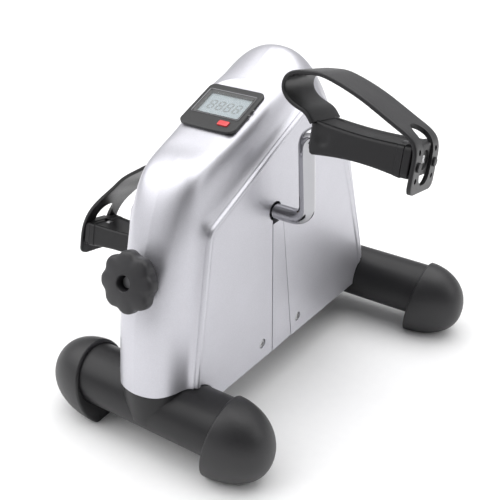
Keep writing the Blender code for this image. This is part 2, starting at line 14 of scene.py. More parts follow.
import bmesh
import bpy
import mathutils
import numpy as np
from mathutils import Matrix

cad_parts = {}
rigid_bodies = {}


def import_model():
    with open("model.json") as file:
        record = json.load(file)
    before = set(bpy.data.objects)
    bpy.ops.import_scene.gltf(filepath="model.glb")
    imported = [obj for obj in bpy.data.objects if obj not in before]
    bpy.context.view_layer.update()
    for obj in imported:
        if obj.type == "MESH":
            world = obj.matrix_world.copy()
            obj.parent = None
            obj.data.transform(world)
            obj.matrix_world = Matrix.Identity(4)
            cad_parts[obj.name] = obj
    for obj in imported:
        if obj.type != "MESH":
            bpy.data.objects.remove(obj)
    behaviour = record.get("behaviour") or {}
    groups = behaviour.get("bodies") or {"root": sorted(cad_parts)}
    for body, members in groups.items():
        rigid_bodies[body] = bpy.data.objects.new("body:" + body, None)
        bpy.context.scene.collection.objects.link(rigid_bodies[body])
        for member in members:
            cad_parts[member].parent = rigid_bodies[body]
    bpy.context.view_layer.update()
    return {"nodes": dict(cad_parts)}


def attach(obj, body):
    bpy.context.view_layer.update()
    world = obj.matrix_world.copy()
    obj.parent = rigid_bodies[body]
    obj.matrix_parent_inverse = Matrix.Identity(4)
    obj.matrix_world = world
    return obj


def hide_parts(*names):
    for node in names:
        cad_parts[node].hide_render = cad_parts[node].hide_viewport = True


logging.basicConfig(level=logging.INFO, format="%(message)s", stream=sys.stdout)
LOG = logging.getLogger("exerciser")

MM = 0.001
SHIFT_Y = 2.25


class Side(Enum):
    """Which side of the machine a piece belongs to; the value is the sign of its x."""

    RIGHT = 1
    LEFT = -1

    @property
    def word(self) -> str:
        """The side's name as the CAD nodes spell it."""
        return self.name.lower()


class Row(Enum):
    """Which floor tube a piece belongs to; the value is the sign of its y."""

    FRONT = -1
    REAR = 1

    @property
    def word(self) -> str:
        """The row's name as the CAD nodes spell it."""
        return self.name.lower()


# ---- curves and frames --------------------------------------------------------------
def soften(values: np.ndarray, passes: int) -> np.ndarray:
    """Binomial smoothing down the first axis: each pass is (before + 2 here + after) / 4.

    Args:
        values: Rows to smooth; the first and last row stay.
        passes: How many times to smooth.

    Returns:
        The smoothed rows.
    """
    values = np.array(values, float)
    for _ in range(passes):
        values[1:-1] = (values[:-2] + 2.0 * values[1:-1] + values[2:]) / 4.0
    return values


def evenly(curve: np.ndarray, count: int, columns: int | None = None) -> np.ndarray:
    """Resamples a polyline at equal steps of its own length.

    Args:
        curve: Points, one a row.
        count: How many points to return.
        columns: How many leading columns measure the length; all of them if None.

    Returns:
        The resampled points.
    """
    steps = np.linalg.norm(np.diff(curve[:, :columns], axis=0), axis=1)
    length = np.concatenate([[0.0], np.cumsum(steps)])
    at = np.linspace(0.0, length[-1], count)
    return np.stack([np.interp(at, length, column) for column in curve.T], axis=1)


def flowing(knots: np.ndarray, count: int, columns: int | None = None) -> np.ndarray:
    """A Catmull-Rom cubic through the knots, resampled evenly.

    Args:
        knots: Points the curve goes through, one a row.
        count: How many points to return.
        columns: How many leading columns measure the length.

    Returns:
        Points along the curve.
    """
    knots = np.asarray(knots, float)
    held = np.concatenate([knots[:1], knots, knots[-1:]])
    share = np.linspace(0.0, 1.0, 24, endpoint=False)[None, :, None]
    a, b, c, d = (held[i : i + len(knots) - 1, None, :] for i in range(4))
    curve = 0.5 * (
        2 * b + (c - a) * share + (2 * a - 5 * b + 4 * c - d) * share**2
        + (3 * b - a - 3 * c + d) * share**3
    )
    curve = np.concatenate([curve.reshape(-1, knots.shape[1]), knots[-1:]])
    return evenly(curve, count, columns)


def corner_cut(knots: np.ndarray, passes: int) -> np.ndarray:
    """Chaikin's corner cutting: every side keeps its middle half, and the ends stay.

    Args:
        knots: The control polygon, one point a row.
        passes: How many times to cut.

    Returns:
        The rounded polygon.
    """
    for _ in range(passes):
        low = 0.75 * knots[:-1] + 0.25 * knots[1:]
        high = 0.25 * knots[:-1] + 0.75 * knots[1:]
        cut = np.stack([low, high], axis=1).reshape(-1, knots.shape[1])
        knots = np.concatenate([knots[:1], cut, knots[-1:]])
    return knots


def rise(value: np.ndarray, low: float, high: float) -> np.ndarray:
    """A smooth step, 3t^2 - 2t^3, from 0 at low to 1 at high."""
    t = np.clip((np.asarray(value, float) - low) / (high - low), 0.0, 1.0)
    return t * t * (3.0 - 2.0 * t)


def ring_outline(
    half_a: np.ndarray | float, half_b: np.ndarray | float, radius: np.ndarray | float,
    arc: int = 8, edge: int = 6,
) -> tuple[np.ndarray, np.ndarray]:
    """A rectangle with round corners: each point is its corner's sign times (half size less
    radius), plus radius times its direction; along an edge the sign runs between two corners.

    Args:
        half_a: Half the size along a, a number or an array of them.
        half_b: Half the size along b.
        radius: The corner radius.
        arc: Steps in each corner.
        edge: Steps along each edge.

    Returns:
        The a and b of the outline, with the outline's points on the last axis.
    """
    wide, tall, round_by = (np.asarray(v, float)[..., None] for v in (half_a, half_b, radius))
    turn = np.radians(np.linspace(0.0, 90.0, arc + 1) + 90.0 * np.arange(4)[:, None])
    signs = np.array([[1.0, 1.0], [-1.0, 1.0], [-1.0, -1.0], [1.0, -1.0]])
    arrow = np.stack([np.cos(turn), np.sin(turn)], axis=-1)
    share = np.linspace(0.0, 1.0, edge + 1)[1:-1][None, :, None]
    between = signs[:, None] * (1 - share) + np.roll(signs, -1, axis=0)[:, None] * share
    sign = np.concatenate([np.repeat(signs[:, None], arc + 1, axis=1), between], axis=1)
    held = np.repeat(arrow[:, -1:], edge - 1, axis=1)
    arrow = np.concatenate([arrow, held], axis=1).reshape(-1, 2)
    sign = sign.reshape(-1, 2)
    return (
        sign[:, 0] * (wide - round_by) + round_by * arrow[:, 0],
        sign[:, 1] * (tall - round_by) + round_by * arrow[:, 1],
    )


@dataclass(frozen=True)
class Placement:
    """A local frame with axes a, b and h, in millimetres."""

    origin: tuple[float, float, float]
    along_a: tuple[float, float, float]
    along_b: tuple[float, float, float]
    along_h: tuple[float, float, float]

    def at(
        self, a: np.ndarray | float, b: np.ndarray | float, h: np.ndarray | float,
    ) -> np.ndarray:
        """Origin + a * first axis + b * second axis + h * third axis, for whole arrays.

        Args:
            a: Distance along the first axis.
            b: Distance along the second axis.
            h: Distance along the third axis.

        Returns:
            The points, with x, y and z on the last axis.
        """
        a, b, h = np.broadcast_arrays(np.asarray(a, float), b, h)
        return (
            np.array(self.origin)
            + a[..., None] * np.array(self.along_a)
            + b[..., None] * np.array(self.along_b)
            + h[..., None] * np.array(self.along_h)
        )


HUB = (-24.8, 171.5)  # y and z of the crank's axle
THROW = (-6.8, 74.9)  # y and z from the axle to the right pedal's spindle
PAD_AT = (-35.5, 251.3)  # y and z of the middle of the console's pad
PAD_TILT = math.radians(19.1)
KNOB_TILT = math.radians(18.7)
ALONG_X = Placement((0.0, 0.0, 0.0), (0.0, 1.0, 0.0), (0.0, 0.0, 1.0), (1.0, 0.0, 0.0))
TENSION = Placement(
    (0.0, -41.3, 122.6), (1, 0, 0), (0, math.sin(KNOB_TILT), math.cos(KNOB_TILT)),
    (0, -math.cos(KNOB_TILT), math.sin(KNOB_TILT)),
)
CONSOLE = Placement(
    (0.0, *PAD_AT), (1, 0, 0), (0, math.cos(PAD_TILT), math.sin(PAD_TILT)),
    (0, -math.sin(PAD_TILT), math.cos(PAD_TILT)),
)


# ---- meshes ---------------------------------------------------------------------------
@dataclass
class Patchwork:
    """Collects sheets of points in millimetres and joins them into one closed mesh."""

    sheets: list[np.ndarray] = field(default_factory=list)
    quads: list[np.ndarray] = field(default_factory=list)
    lids: list[list[int]] = field(default_factory=list)
    count: int = 0

    def sheet(self, points: np.ndarray, wrap: bool = False) -> np.ndarray:
        """Adds a grid of quads.

        Args:
            points: The grid, rows by columns by 3.
            wrap: Whether the last column joins the first.

        Returns:
            The grid's vertex numbers.
        """
        rows, columns = points.shape[:2]
        number = self.count + np.arange(rows * columns).reshape(rows, columns)
        net = np.concatenate([number, number[:, :1]], axis=1) if wrap else number
        corners = (net[:-1, :-1], net[1:, :-1], net[1:, 1:], net[:-1, 1:])
        self.quads.append(np.stack(corners, axis=-1).reshape(-1, 4))
        self.sheets.append(points.reshape(-1, 3))
        self.count += rows * columns
        return number

    def lid(self, numbers: np.ndarray) -> None:
        """Closes a flat loop of vertices with one face."""
        self.lids.append([int(n) for n in numbers])

    def tube(self, points: np.ndarray) -> "Patchwork":
        """Adds a grid of closed rings with a flat lid on its first and last ring.

        Args:
            points: The rings, rows by columns by 3.

        Returns:
            The patchwork, so that a build can follow.
        """
        number = self.sheet(points, wrap=True)
        self.lid(number[0])
        self.lid(number[-1])
        return self

    def hoop(self, points: np.ndarray) -> "Patchwork":
        """Adds a grid of closed rings whose last ring is joined to its first.

        Args:
            points: The rings, rows by columns by 3.

        Returns:
            The patchwork, so that a build can follow.
        """
        number = self.sheet(points, wrap=True)
        first, last = number[0], number[-1]
        self.quads.append(np.stack([first, last, np.roll(last, -1), np.roll(first, -1)], axis=1))
        return self

    def build(self, name: str, crease: float = 32.0, weld: float = 0.004) -> bpy.types.Object:
        """Makes the mesh: doubles merged, faces turned outward, smooth but for its creases.

        Args:
            name: The object's name.
            crease: The angle in degrees above which an edge stays sharp.
            weld: How close two points are merged, in millimetres.

        Returns:
            The object, at the origin.
        """
        spots = (np.concatenate(self.sheets) + np.array([0.0, SHIFT_Y, 0.0])) * MM
        mesh = bpy.data.meshes.new(name)
        mesh.from_pydata(spots.tolist(), [], np.concatenate(self.quads).tolist() + self.lids)
        edit = bmesh.new()
        edit.from_mesh(mesh)
        bmesh.ops.remove_doubles(edit, verts=edit.verts, dist=weld * MM)
        bmesh.ops.dissolve_degenerate(edit, edges=edit.edges, dist=1e-7)
        bmesh.ops.recalc_face_normals(edit, faces=edit.faces)
        edit.to_mesh(mesh)
        edit.free()
        piece = bpy.data.objects.new(name, mesh)
        bpy.context.scene.collection.objects.link(piece)
        shade(piece, crease)
        return piece


def shade(piece: bpy.types.Object, crease: float) -> None:
    """Smooth shading, with edges sharper than the crease angle left sharp."""
    piece.data.shade_smooth()
    piece.data.set_sharp_from_angle(angle=math.radians(crease))


def carve(
    piece: bpy.types.Object, cutters: list[bpy.types.Object], crease: float = 32.0,
    joined: bool = False,
) -> bpy.types.Object:
    """Cuts closed shapes from a closed piece, or joins them to it, and keeps the plain mesh.

    Args:
        piece: The piece to change.
        cutters: Closed shapes, removed afterwards.
        crease: The sharp-edge angle of the result, in degrees.
        joined: Whether the shapes are added instead of cut away.

    Returns:
        The piece.
    """
    for cutter in cutters:
        step = piece.modifiers.new(cutter.name, "BOOLEAN")
        step.operation = "UNION" if joined else "DIFFERENCE"
        step.solver = "MANIFOLD"
        step.object = cutter
    bpy.context.view_layer.update()
    graph = bpy.context.evaluated_depsgraph_get()
    mesh = bpy.data.meshes.new_from_object(piece.evaluated_get(graph))
    piece.modifiers.clear()
    piece.data = mesh
    for cutter in cutters:
        bpy.data.objects.remove(cutter, do_unlink=True)
    edit = bmesh.new()
    edit.from_mesh(mesh)
    bmesh.ops.dissolve_degenerate(edit, edges=edit.edges, dist=1e-7)
    edit.to_mesh(mesh)
    edit.free()
    shade(piece, crease)
    return piece


def turned(
    name: str, profile: list[tuple[float, float]], place: Placement, steps: int = 64,
    centre: tuple[float, float] = (0.0, 0.0), crease: float = 32.0,
) -> bpy.types.Object:
    """A turned solid: each (radius, h) of the profile is a ring about the h axis.

    Args:
        name: The object's name.
        profile: Radius and height of each ring, from one end to the other.
        place: The frame of the piece.
        steps: Points in each ring.
        centre: The a and b of the axis.
        crease: The sharp-edge angle in degrees.

    Returns:
        The object.
    """
    radius, height = np.array(profile, float).T
    turn = np.linspace(0.0, 2.0 * math.pi, steps, endpoint=False)
    a = centre[0] + radius[:, None] * np.cos(turn)
    b = centre[1] + radius[:, None] * np.sin(turn)
    net = Patchwork()
    rows = net.sheet(place.at(a, b, height[:, None]), wrap=True)
    if radius[0] > 0:
        net.lid(rows[0])
    if radius[-1] > 0:
        net.lid(rows[-1])
    return net.build(name, crease)


def prism(
    name: str, outline: np.ndarray, place: Placement, low: float, high: float,
) -> bpy.types.Object:
    """A flat outline of (a, b) points carried from h = low to h = high.

    Args:
        name: The object's name.
        outline: The outline's points, one a row.
        place: The frame of the piece.
        low: The first height.
        high: The last height.

    Returns:
        The object.
    """
    outline = np.asarray(outline, float)
    ends = np.array([low, high])[:, None]
    return Patchwork().tube(place.at(outline[:, 0], outline[:, 1], ends)).build(name)


def hang(
    piece: bpy.types.Object, finish: bpy.types.Material, body: str,
    nodes: tuple[str, ...] = (),
) -> bpy.types.Object:
    """Gives a piece its finish, its body and the CAD nodes it stands for.

    Args:
        piece: The finished piece.
        finish: Its material.
        body: The CAD body it moves with.
        nodes: The CAD nodes it replaces.

    Returns:
        The piece.
    """
    piece.data.materials.clear()
    piece.data.materials.append(finish)
    if nodes:
        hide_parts(*nodes)
    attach(piece, body)
    LOG.info("made %s: %d faces, rides on %s", piece.name, len(piece.data.polygons), body)
    return piece


# ---- finishes ---------------------------------------------------------------------------
@dataclass(frozen=True)
class FlakePaint:
    """Metallic spray paint: fine flakes under a satin clear coat."""

    name: str
    dark: tuple[float, float, float] = (0.445, 0.442, 0.475)
    light: tuple[float, float, float] = (0.615, 0.612, 0.655)
    metallic: float = 0.85
    roughness: float = 0.42
    flakes: float = 3000.0


@dataclass(frozen=True)
class Moulded:
    """Moulded plastic or rubber: a fine spark-eroded grain and faint colour drift."""

    name: str
    dark: tuple[float, float, float]
    light: tuple[float, float, float]
    roughness: float
    grain: float = 1400.0
    depth: float = 0.25
    coat: float = 0.0
    shine: float = 0.5


@dataclass(frozen=True)
class BareMetal:
    """Bare or plated metal: drawn streaks, faint haze and colour drift."""

    name: str
    dark: tuple[float, float, float]
    light: tuple[float, float, float]
    roughness: float
    streak: float = 0.05
    stretch: tuple[float, float, float] = (1.0, 12.0, 12.0)


def flake_paint(look: FlakePaint) -> bpy.types.Material:
    """Metallic paint.

    Args:
        look: The paint's numbers.

    Returns:
        The material.
    """
    made = bpy.data.materials.new(look.name)
    made.use_nodes = True
    tree = made.node_tree
    tree.nodes.clear()
    nodes, links = tree.nodes, tree.links
    flake_frame = nodes.new("NodeFrame")
    flake_frame.label = "Metal flakes"
    tone_frame = nodes.new("NodeFrame")
    tone_frame.label = "Spray tone"
    skin_frame = nodes.new("NodeFrame")
    skin_frame.label = "Orange peel"
    spots = nodes.new("ShaderNodeTexCoord")
    spots.label, spots.location = "Place on the shell", (-1300, 0)
    flake = nodes.new("ShaderNodeTexVoronoi")
    flake.label, flake.location = "Single flakes", (-1050, 260)
    sparkle = nodes.new("ShaderNodeMapRange")
    sparkle.label, sparkle.location = "Brightness of each flake", (-800, 260)
    drift = nodes.new("ShaderNodeTexNoise")
    drift.label, drift.location = "Slow drift of the spray", (-1050, -40)
    tone = nodes.new("ShaderNodeMix")
    tone.label, tone.location = "Light and dark silver", (-560, 120)
    share = nodes.new("ShaderNodeMath")
    share.label, share.location = "Flake plus drift", (-740, 40)
    peel = nodes.new("ShaderNodeTexNoise")
    peel.label, peel.location = "Peel of the coat", (-1050, -340)
    skin = nodes.new("ShaderNodeBump")
    skin.label, skin.location = "Peel relief", (-560, -340)
    dull = nodes.new("ShaderNodeMapRange")
    dull.label, dull.location = "Satin variation", (-560, -120)
    shader = nodes.new("ShaderNodeBsdfPrincipled")
    shader.label, shader.location = "Paint", (-260, 100)
    out = nodes.new("ShaderNodeOutputMaterial")
    out.label, out.location = "Surface", (60, 100)
    for node, group in (
        (flake, flake_frame), (sparkle, flake_frame), (drift, tone_frame), (share, tone_frame),
        (tone, tone_frame), (dull, tone_frame), (peel, skin_frame), (skin, skin_frame),
    ):
        node.parent = group
    flake.inputs["Scale"].default_value = look.flakes
    sparkle.inputs["From Min"].default_value = 0.0
    sparkle.inputs["From Max"].default_value = 1.0
    sparkle.inputs["To Min"].default_value = 0.05
    sparkle.inputs["To Max"].default_value = 0.95
    drift.inputs["Scale"].default_value = 9.0
    drift.inputs["Detail"].default_value = 4.0
    share.operation = "MULTIPLY_ADD"
    share.inputs[1].default_value = 0.5
    tone.data_type = "RGBA"
    tone.inputs["A"].default_value = (*look.dark, 1.0)
    tone.inputs["B"].default_value = (*look.light, 1.0)
    peel.inputs["Scale"].default_value = 420.0
    peel.inputs["Detail"].default_value = 2.0
    skin.inputs["Strength"].default_value = 0.035
    skin.inputs["Distance"].default_value = 0.0004
    dull.inputs["To Min"].default_value = look.roughness - 0.03
    dull.inputs["To Max"].default_value = look.roughness + 0.05
    shader.inputs["Metallic"].default_value = look.metallic
    shader.inputs["Coat Weight"].default_value = 0.25
    shader.inputs["Coat Roughness"].default_value = 0.18
    links.new(spots.outputs["Object"], flake.inputs["Vector"])
    links.new(spots.outputs["Object"], drift.inputs["Vector"])
    links.new(spots.outputs["Object"], peel.inputs["Vector"])
    links.new(flake.outputs["Color"], sparkle.inputs["Value"])
    links.new(sparkle.outputs["Result"], share.inputs[0])
    links.new(drift.outputs["Fac"], share.inputs[2])
    links.new(share.outputs["Value"], tone.inputs["Factor"])
    links.new(tone.outputs["Result"], shader.inputs["Base Color"])
    links.new(drift.outputs["Fac"], dull.inputs["Value"])
    links.new(dull.outputs["Result"], shader.inputs["Roughness"])
    links.new(peel.outputs["Fac"], skin.inputs["Height"])
    links.new(skin.outputs["Normal"], shader.inputs["Normal"])
    links.new(shader.outputs["BSDF"], out.inputs["Surface"])
    return made


def moulded(look: Moulded) -> bpy.types.Material:
    """Moulded plastic, rubber or baked enamel, by its grain and gloss.

    Args:
        look: The finish's numbers.

    Returns:
        The material.
    """
    made = bpy.data.materials.new(look.name)
    made.use_nodes = True
    tree = made.node_tree
    tree.nodes.clear()
    nodes, links = tree.nodes, tree.links
    tone_frame = nodes.new("NodeFrame")
    tone_frame.label = "Colour drift"
    grain_frame = nodes.new("NodeFrame")
    grain_frame.label = "Mould grain"
    gloss_frame = nodes.new("NodeFrame")
    gloss_frame.label = "Handled gloss"
    spots = nodes.new("ShaderNodeTexCoord")
    spots.label, spots.location = "Place on the moulding", (-1300, 0)
    cloud = nodes.new("ShaderNodeTexNoise")
    cloud.label, cloud.location = "Slow cloud in the colour", (-1050, 240)
    tone = nodes.new("ShaderNodeMix")
    tone.label, tone.location = "Dark and light of the resin", (-560, 240)
    pits = nodes.new("ShaderNodeTexVoronoi")
    pits.label, pits.location = "Grain cells of the mould", (-1050, -320)
    fine = nodes.new("ShaderNodeTexNoise")
    fine.label, fine.location = "Uneven grain depth", (-1050, -560)
    mixed = nodes.new("ShaderNodeMath")
    mixed.label, mixed.location = "Cells times unevenness", (-800, -400)
    relief = nodes.new("ShaderNodeBump")
    relief.label, relief.location = "Grain relief", (-560, -360)
    wear = nodes.new("ShaderNodeTexNoise")
    wear.label, wear.location = "Where hands polish it", (-1050, -40)
    gloss = nodes.new("ShaderNodeMapRange")
    gloss.label, gloss.location = "Roughness range", (-560, -60)
    shader = nodes.new("ShaderNodeBsdfPrincipled")
    shader.label, shader.location = "Moulding", (-260, 100)
    out = nodes.new("ShaderNodeOutputMaterial")
    out.label, out.location = "Surface", (60, 100)
    for node, group in (
        (cloud, tone_frame), (tone, tone_frame), (pits, grain_frame), (fine, grain_frame),
        (mixed, grain_frame), (relief, grain_frame), (wear, gloss_frame), (gloss, gloss_frame),
    ):
        node.parent = group
    cloud.inputs["Scale"].default_value = 26.0
    cloud.inputs["Detail"].default_value = 5.0
    tone.data_type = "RGBA"
    tone.inputs["A"].default_value = (*look.dark, 1.0)
    tone.inputs["B"].default_value = (*look.light, 1.0)
    pits.inputs["Scale"].default_value = look.grain
    fine.inputs["Scale"].default_value = look.grain * 1.7
    mixed.operation = "MULTIPLY"
    relief.inputs["Strength"].default_value = look.depth
    relief.inputs["Distance"].default_value = 0.0003
    wear.inputs["Scale"].default_value = 38.0
    wear.inputs["Detail"].default_value = 3.0
    gloss.inputs["To Min"].default_value = look.roughness - 0.06
    gloss.inputs["To Max"].default_value = look.roughness + 0.06
    shader.inputs["Coat Weight"].default_value = look.coat
    shader.inputs["Specular IOR Level"].default_value = look.shine
    shader.inputs["Coat Roughness"].default_value = 0.12
    links.new(spots.outputs["Object"], cloud.inputs["Vector"])
    links.new(spots.outputs["Object"], pits.inputs["Vector"])
    links.new(spots.outputs["Object"], fine.inputs["Vector"])
    links.new(spots.outputs["Object"], wear.inputs["Vector"])
    links.new(cloud.outputs["Fac"], tone.inputs["Factor"])
    links.new(tone.outputs["Result"], shader.inputs["Base Color"])
    links.new(pits.outputs["Distance"], mixed.inputs[0])
    links.new(fine.outputs["Fac"], mixed.inputs[1])
    links.new(mixed.outputs["Value"], relief.inputs["Height"])
    links.new(relief.outputs["Normal"], shader.inputs["Normal"])
    links.new(wear.outputs["Fac"], gloss.inputs["Value"])
    links.new(gloss.outputs["Result"], shader.inputs["Roughness"])
    links.new(shader.outputs["BSDF"], out.inputs["Surface"])
    return made


def bare_metal(look: BareMetal) -> bpy.types.Material:
    """Bare or plated metal with drawn streaks.

    Args:
        look: The finish's numbers.

    Returns:
        The material.
    """
    made = bpy.data.materials.new(look.name)
    made.use_nodes = True
    tree = made.node_tree
    tree.nodes.clear()
    nodes, links = tree.nodes, tree.links
    tone_frame = nodes.new("NodeFrame")
    tone_frame.label = "Metal colour"
    streak_frame = nodes.new("NodeFrame")
    streak_frame.label = "Drawn streaks"
    spots = nodes.new("ShaderNodeTexCoord")
    spots.label, spots.location = "Place on the metal", (-1300, 0)
    pull = nodes.new("ShaderNodeMapping")
    pull.label, pull.location = "Pull along the drawing", (-1080, -160)
    streak = nodes.new("ShaderNodeTexNoise")
    streak.label, streak.location = "Streaks", (-860, -160)
    haze = nodes.new("ShaderNodeTexNoise")
    haze.label, haze.location = "Haze in the plating", (-860, 200)
    tone = nodes.new("ShaderNodeMix")
    tone.label, tone.location = "Dark and light metal", (-560, 200)
    gloss = nodes.new("ShaderNodeMapRange")
    gloss.label, gloss.location = "Roughness of the streaks", (-560, -80)
    relief = nodes.new("ShaderNodeBump")
    relief.label, relief.location = "Streak relief", (-560, -340)
    shader = nodes.new("ShaderNodeBsdfPrincipled")
    shader.label, shader.location = "Metal", (-260, 100)
    out = nodes.new("ShaderNodeOutputMaterial")
    out.label, out.location = "Surface", (60, 100)
    for node, group in (
        (haze, tone_frame), (tone, tone_frame), (pull, streak_frame), (streak, streak_frame),
        (gloss, streak_frame), (relief, streak_frame),
    ):
        node.parent = group
    pull.inputs["Scale"].default_value = look.stretch
    streak.inputs["Scale"].default_value = 60.0
    streak.inputs["Detail"].default_value = 3.0
    haze.inputs["Scale"].default_value = 24.0
    haze.inputs["Detail"].default_value = 4.0
    tone.data_type = "RGBA"
    tone.inputs["A"].default_value = (*look.dark, 1.0)
    tone.inputs["B"].default_value = (*look.light, 1.0)
    gloss.inputs["To Min"].default_value = max(0.02, look.roughness - look.streak)
    gloss.inputs["To Max"].default_value = look.roughness + look.streak
    relief.inputs["Strength"].default_value = look.streak * 0.3
    relief.inputs["Distance"].default_value = 0.0001
    shader.inputs["Metallic"].default_value = 1.0
    links.new(spots.outputs["Object"], pull.inputs["Vector"])
    links.new(pull.outputs["Vector"], streak.inputs["Vector"])
    links.new(spots.outputs["Object"], haze.inputs["Vector"])
    links.new(haze.outputs["Fac"], tone.inputs["Factor"])
    links.new(tone.outputs["Result"], shader.inputs["Base Color"])
    links.new(streak.outputs["Fac"], gloss.inputs["Value"])
    links.new(gloss.outputs["Result"], shader.inputs["Roughness"])
    links.new(streak.outputs["Fac"], relief.inputs["Height"])
    links.new(relief.outputs["Normal"], shader.inputs["Normal"])
    links.new(shader.outputs["BSDF"], out.inputs["Surface"])
    return made


def clear_window(name: str) -> bpy.types.Material:
    """The clear plastic over the display: mostly open, with a moulded gloss.

    Args:
        name: The material's name.

    Returns:
        The material.
    """
    made = bpy.data.materials.new(name)
    made.use_nodes = True
    tree = made.node_tree
    tree.nodes.clear()
    nodes, links = tree.nodes, tree.links
    gloss_frame = nodes.new("NodeFrame")
    gloss_frame.label = "Wiped gloss"
    spots = nodes.new("ShaderNodeTexCoord")
    spots.label, spots.location = "Place on the window", (-900, 0)
    wipe = nodes.new("ShaderNodeTexNoise")
    wipe.label, wipe.location = "Wipe marks", (-700, 0)
    gloss = nodes.new("ShaderNodeMapRange")
    gloss.label, gloss.location = "Roughness of the marks", (-480, 0)
    shader = nodes.new("ShaderNodeBsdfPrincipled")
    shader.label, shader.location = "Clear plastic", (-260, 100)
    out = nodes.new("ShaderNodeOutputMaterial")
    out.label, out.location = "Surface", (60, 100)
    for node in (wipe, gloss):
        node.parent = gloss_frame
    wipe.inputs["Scale"].default_value = 90.0
    gloss.inputs["To Min"].default_value = 0.04
    gloss.inputs["To Max"].default_value = 0.10
    shader.inputs["Base Color"].default_value = (0.86, 0.9, 0.9, 1.0)
    shader.inputs["Alpha"].default_value = 0.12
    links.new(spots.outputs["Object"], wipe.inputs["Vector"])
    links.new(wipe.outputs["Fac"], gloss.inputs["Value"])
    links.new(gloss.outputs["Result"], shader.inputs["Roughness"])
    links.new(shader.outputs["BSDF"], out.inputs["Surface"])
    return made


def floor_paper(name: str) -> bpy.types.Material:
    """Pale studio paper with a faint fibre tone.

    Args:
        name: The material's name.

    Returns:
        The material.
    """
    made = bpy.data.materials.new(name)
    made.use_nodes = True
    tree = made.node_tree
    tree.nodes.clear()
    nodes, links = tree.nodes, tree.links
    tone_frame = nodes.new("NodeFrame")
    tone_frame.label = "Paper tone"
    spots = nodes.new("ShaderNodeTexCoord")
    spots.label, spots.location = "Place on the paper", (-900, 0)
    fibre = nodes.new("ShaderNodeTexNoise")
    fibre.label, fibre.location = "Fibres", (-700, 0)
    tone = nodes.new("ShaderNodeMix")
    tone.label, tone.location = "Two whites", (-480, 0)
    shader = nodes.new("ShaderNodeBsdfPrincipled")
    shader.label, shader.location = "Paper", (-260, 100)
    out = nodes.new("ShaderNodeOutputMaterial")
    out.label, out.location = "Surface", (60, 100)
    for node in (fibre, tone):
        node.parent = tone_frame
    fibre.inputs["Scale"].default_value = 120.0
    tone.data_type = "RGBA"
    tone.inputs["A"].default_value = (0.90, 0.90, 0.905, 1.0)
    tone.inputs["B"].default_value = (0.93, 0.93, 0.93, 1.0)
    shader.inputs["Roughness"].default_value = 0.85
    shader.inputs["Specular IOR Level"].default_value = 0.1
    links.new(spots.outputs["Object"], fibre.inputs["Vector"])
    links.new(fibre.outputs["Fac"], tone.inputs["Factor"])
    links.new(tone.outputs["Result"], shader.inputs["Base Color"])
    links.new(shader.outputs["BSDF"], out.inputs["Surface"])
    return made


@dataclass
class Finishes:
    """Every finish on the machine, made once and shared."""

    made: dict[str, bpy.types.Material] = field(default_factory=dict)

    def prepare(self) -> None:
        """Makes the materials, grouped by their make-up. The numbers of a moulding are its dark
        and light colour, roughness, grain per metre, grain depth, coat and shine; those of a
        metal are its dark and light colour, roughness and streak.
        """
        self.made["silver"] = flake_paint(FlakePaint("silver_paint"))
        for look in (
            Moulded("black_enamel", (0.010, 0.0098, 0.011), (0.016, 0.0155, 0.017),
                    0.42, 300.0, 0.03, 0.0, 0.34),
            Moulded("cap_plastic", (0.012, 0.0116, 0.0128), (0.019, 0.0185, 0.0205),
                    0.44, 1500.0, 0.25),
            Moulded("knob_plastic", (0.019, 0.0185, 0.0205), (0.027, 0.0263, 0.029),
                    0.45, 1700.0, 0.2, 0.0, 0.42),
            Moulded("pedal_plastic", (0.012, 0.0117, 0.0128), (0.019, 0.0186, 0.02),
                    0.42, 1500.0, 0.2, 0.0, 0.32),
            Moulded("console_plastic", (0.010, 0.010, 0.0108), (0.016, 0.016, 0.017),
                    0.46, 1900.0, 0.2),
            Moulded("gloss_black", (0.008, 0.008, 0.009), (0.012, 0.012, 0.013),
                    0.12, 300.0, 0.02, 0.4),
            Moulded("strap_rubber", (0.012, 0.0118, 0.0125), (0.019, 0.0186, 0.0202),
                    0.36, 1300.0, 0.3, 0.0, 0.4),
            Moulded("red_button", (0.6, 0.03, 0.036), (0.7, 0.048, 0.055), 0.35, 1200.0, 0.1, 0.2),
            Moulded("display_grey", (0.235, 0.285, 0.31), (0.265, 0.315, 0.345), 0.3, 900.0, 0.05),
            Moulded("display_ink", (0.10, 0.125, 0.135), (0.12, 0.145, 0.155), 0.35, 900.0, 0.05),
            Moulded("mark_white", (0.62, 0.62, 0.63), (0.72, 0.72, 0.73), 0.45, 1500.0, 0.1),
            Moulded("felt_pad", (0.06, 0.05, 0.04), (0.14, 0.12, 0.1), 0.94, 2600.0, 1.0),
            Moulded("board_green", (0.012, 0.09, 0.03), (0.02, 0.15, 0.05), 0.4, 700.0, 0.2, 0.3),
        ):
            self.made[look.name] = moulded(look)
        for look in (
            BareMetal("chrome", (0.36, 0.36, 0.375), (0.45, 0.45, 0.47), 0.07, 0.03),
            BareMetal("steel", (0.42, 0.42, 0.43), (0.55, 0.55, 0.56), 0.34, 0.1),
            # steel darkened far below its own colour: painted shade for the tension screw deep in
            # the knob's centre hole
            BareMetal("dark_steel", (0.10, 0.10, 0.105), (0.18, 0.18, 0.185), 0.4, 0.1),
            BareMetal("bronze", (0.42, 0.26, 0.10), (0.56, 0.37, 0.15), 0.38, 0.1),
            BareMetal("cast_iron", (0.09, 0.09, 0.092), (0.16, 0.16, 0.16), 0.55, 0.12),
            BareMetal("outline_silver", (0.16, 0.16, 0.17), (0.22, 0.22, 0.23), 0.4, 0.05),
        ):
            self.made[look.name] = bare_metal(look)
        self.made["clear"] = clear_window("clear_plastic")
        self.made["paper"] = floor_paper("studio_paper")
        LOG.info("made %d finishes", len(self.made))

    def __getitem__(self, name: str) -> bpy.types.Material:
        """The material of that name."""
        return self.made[name]


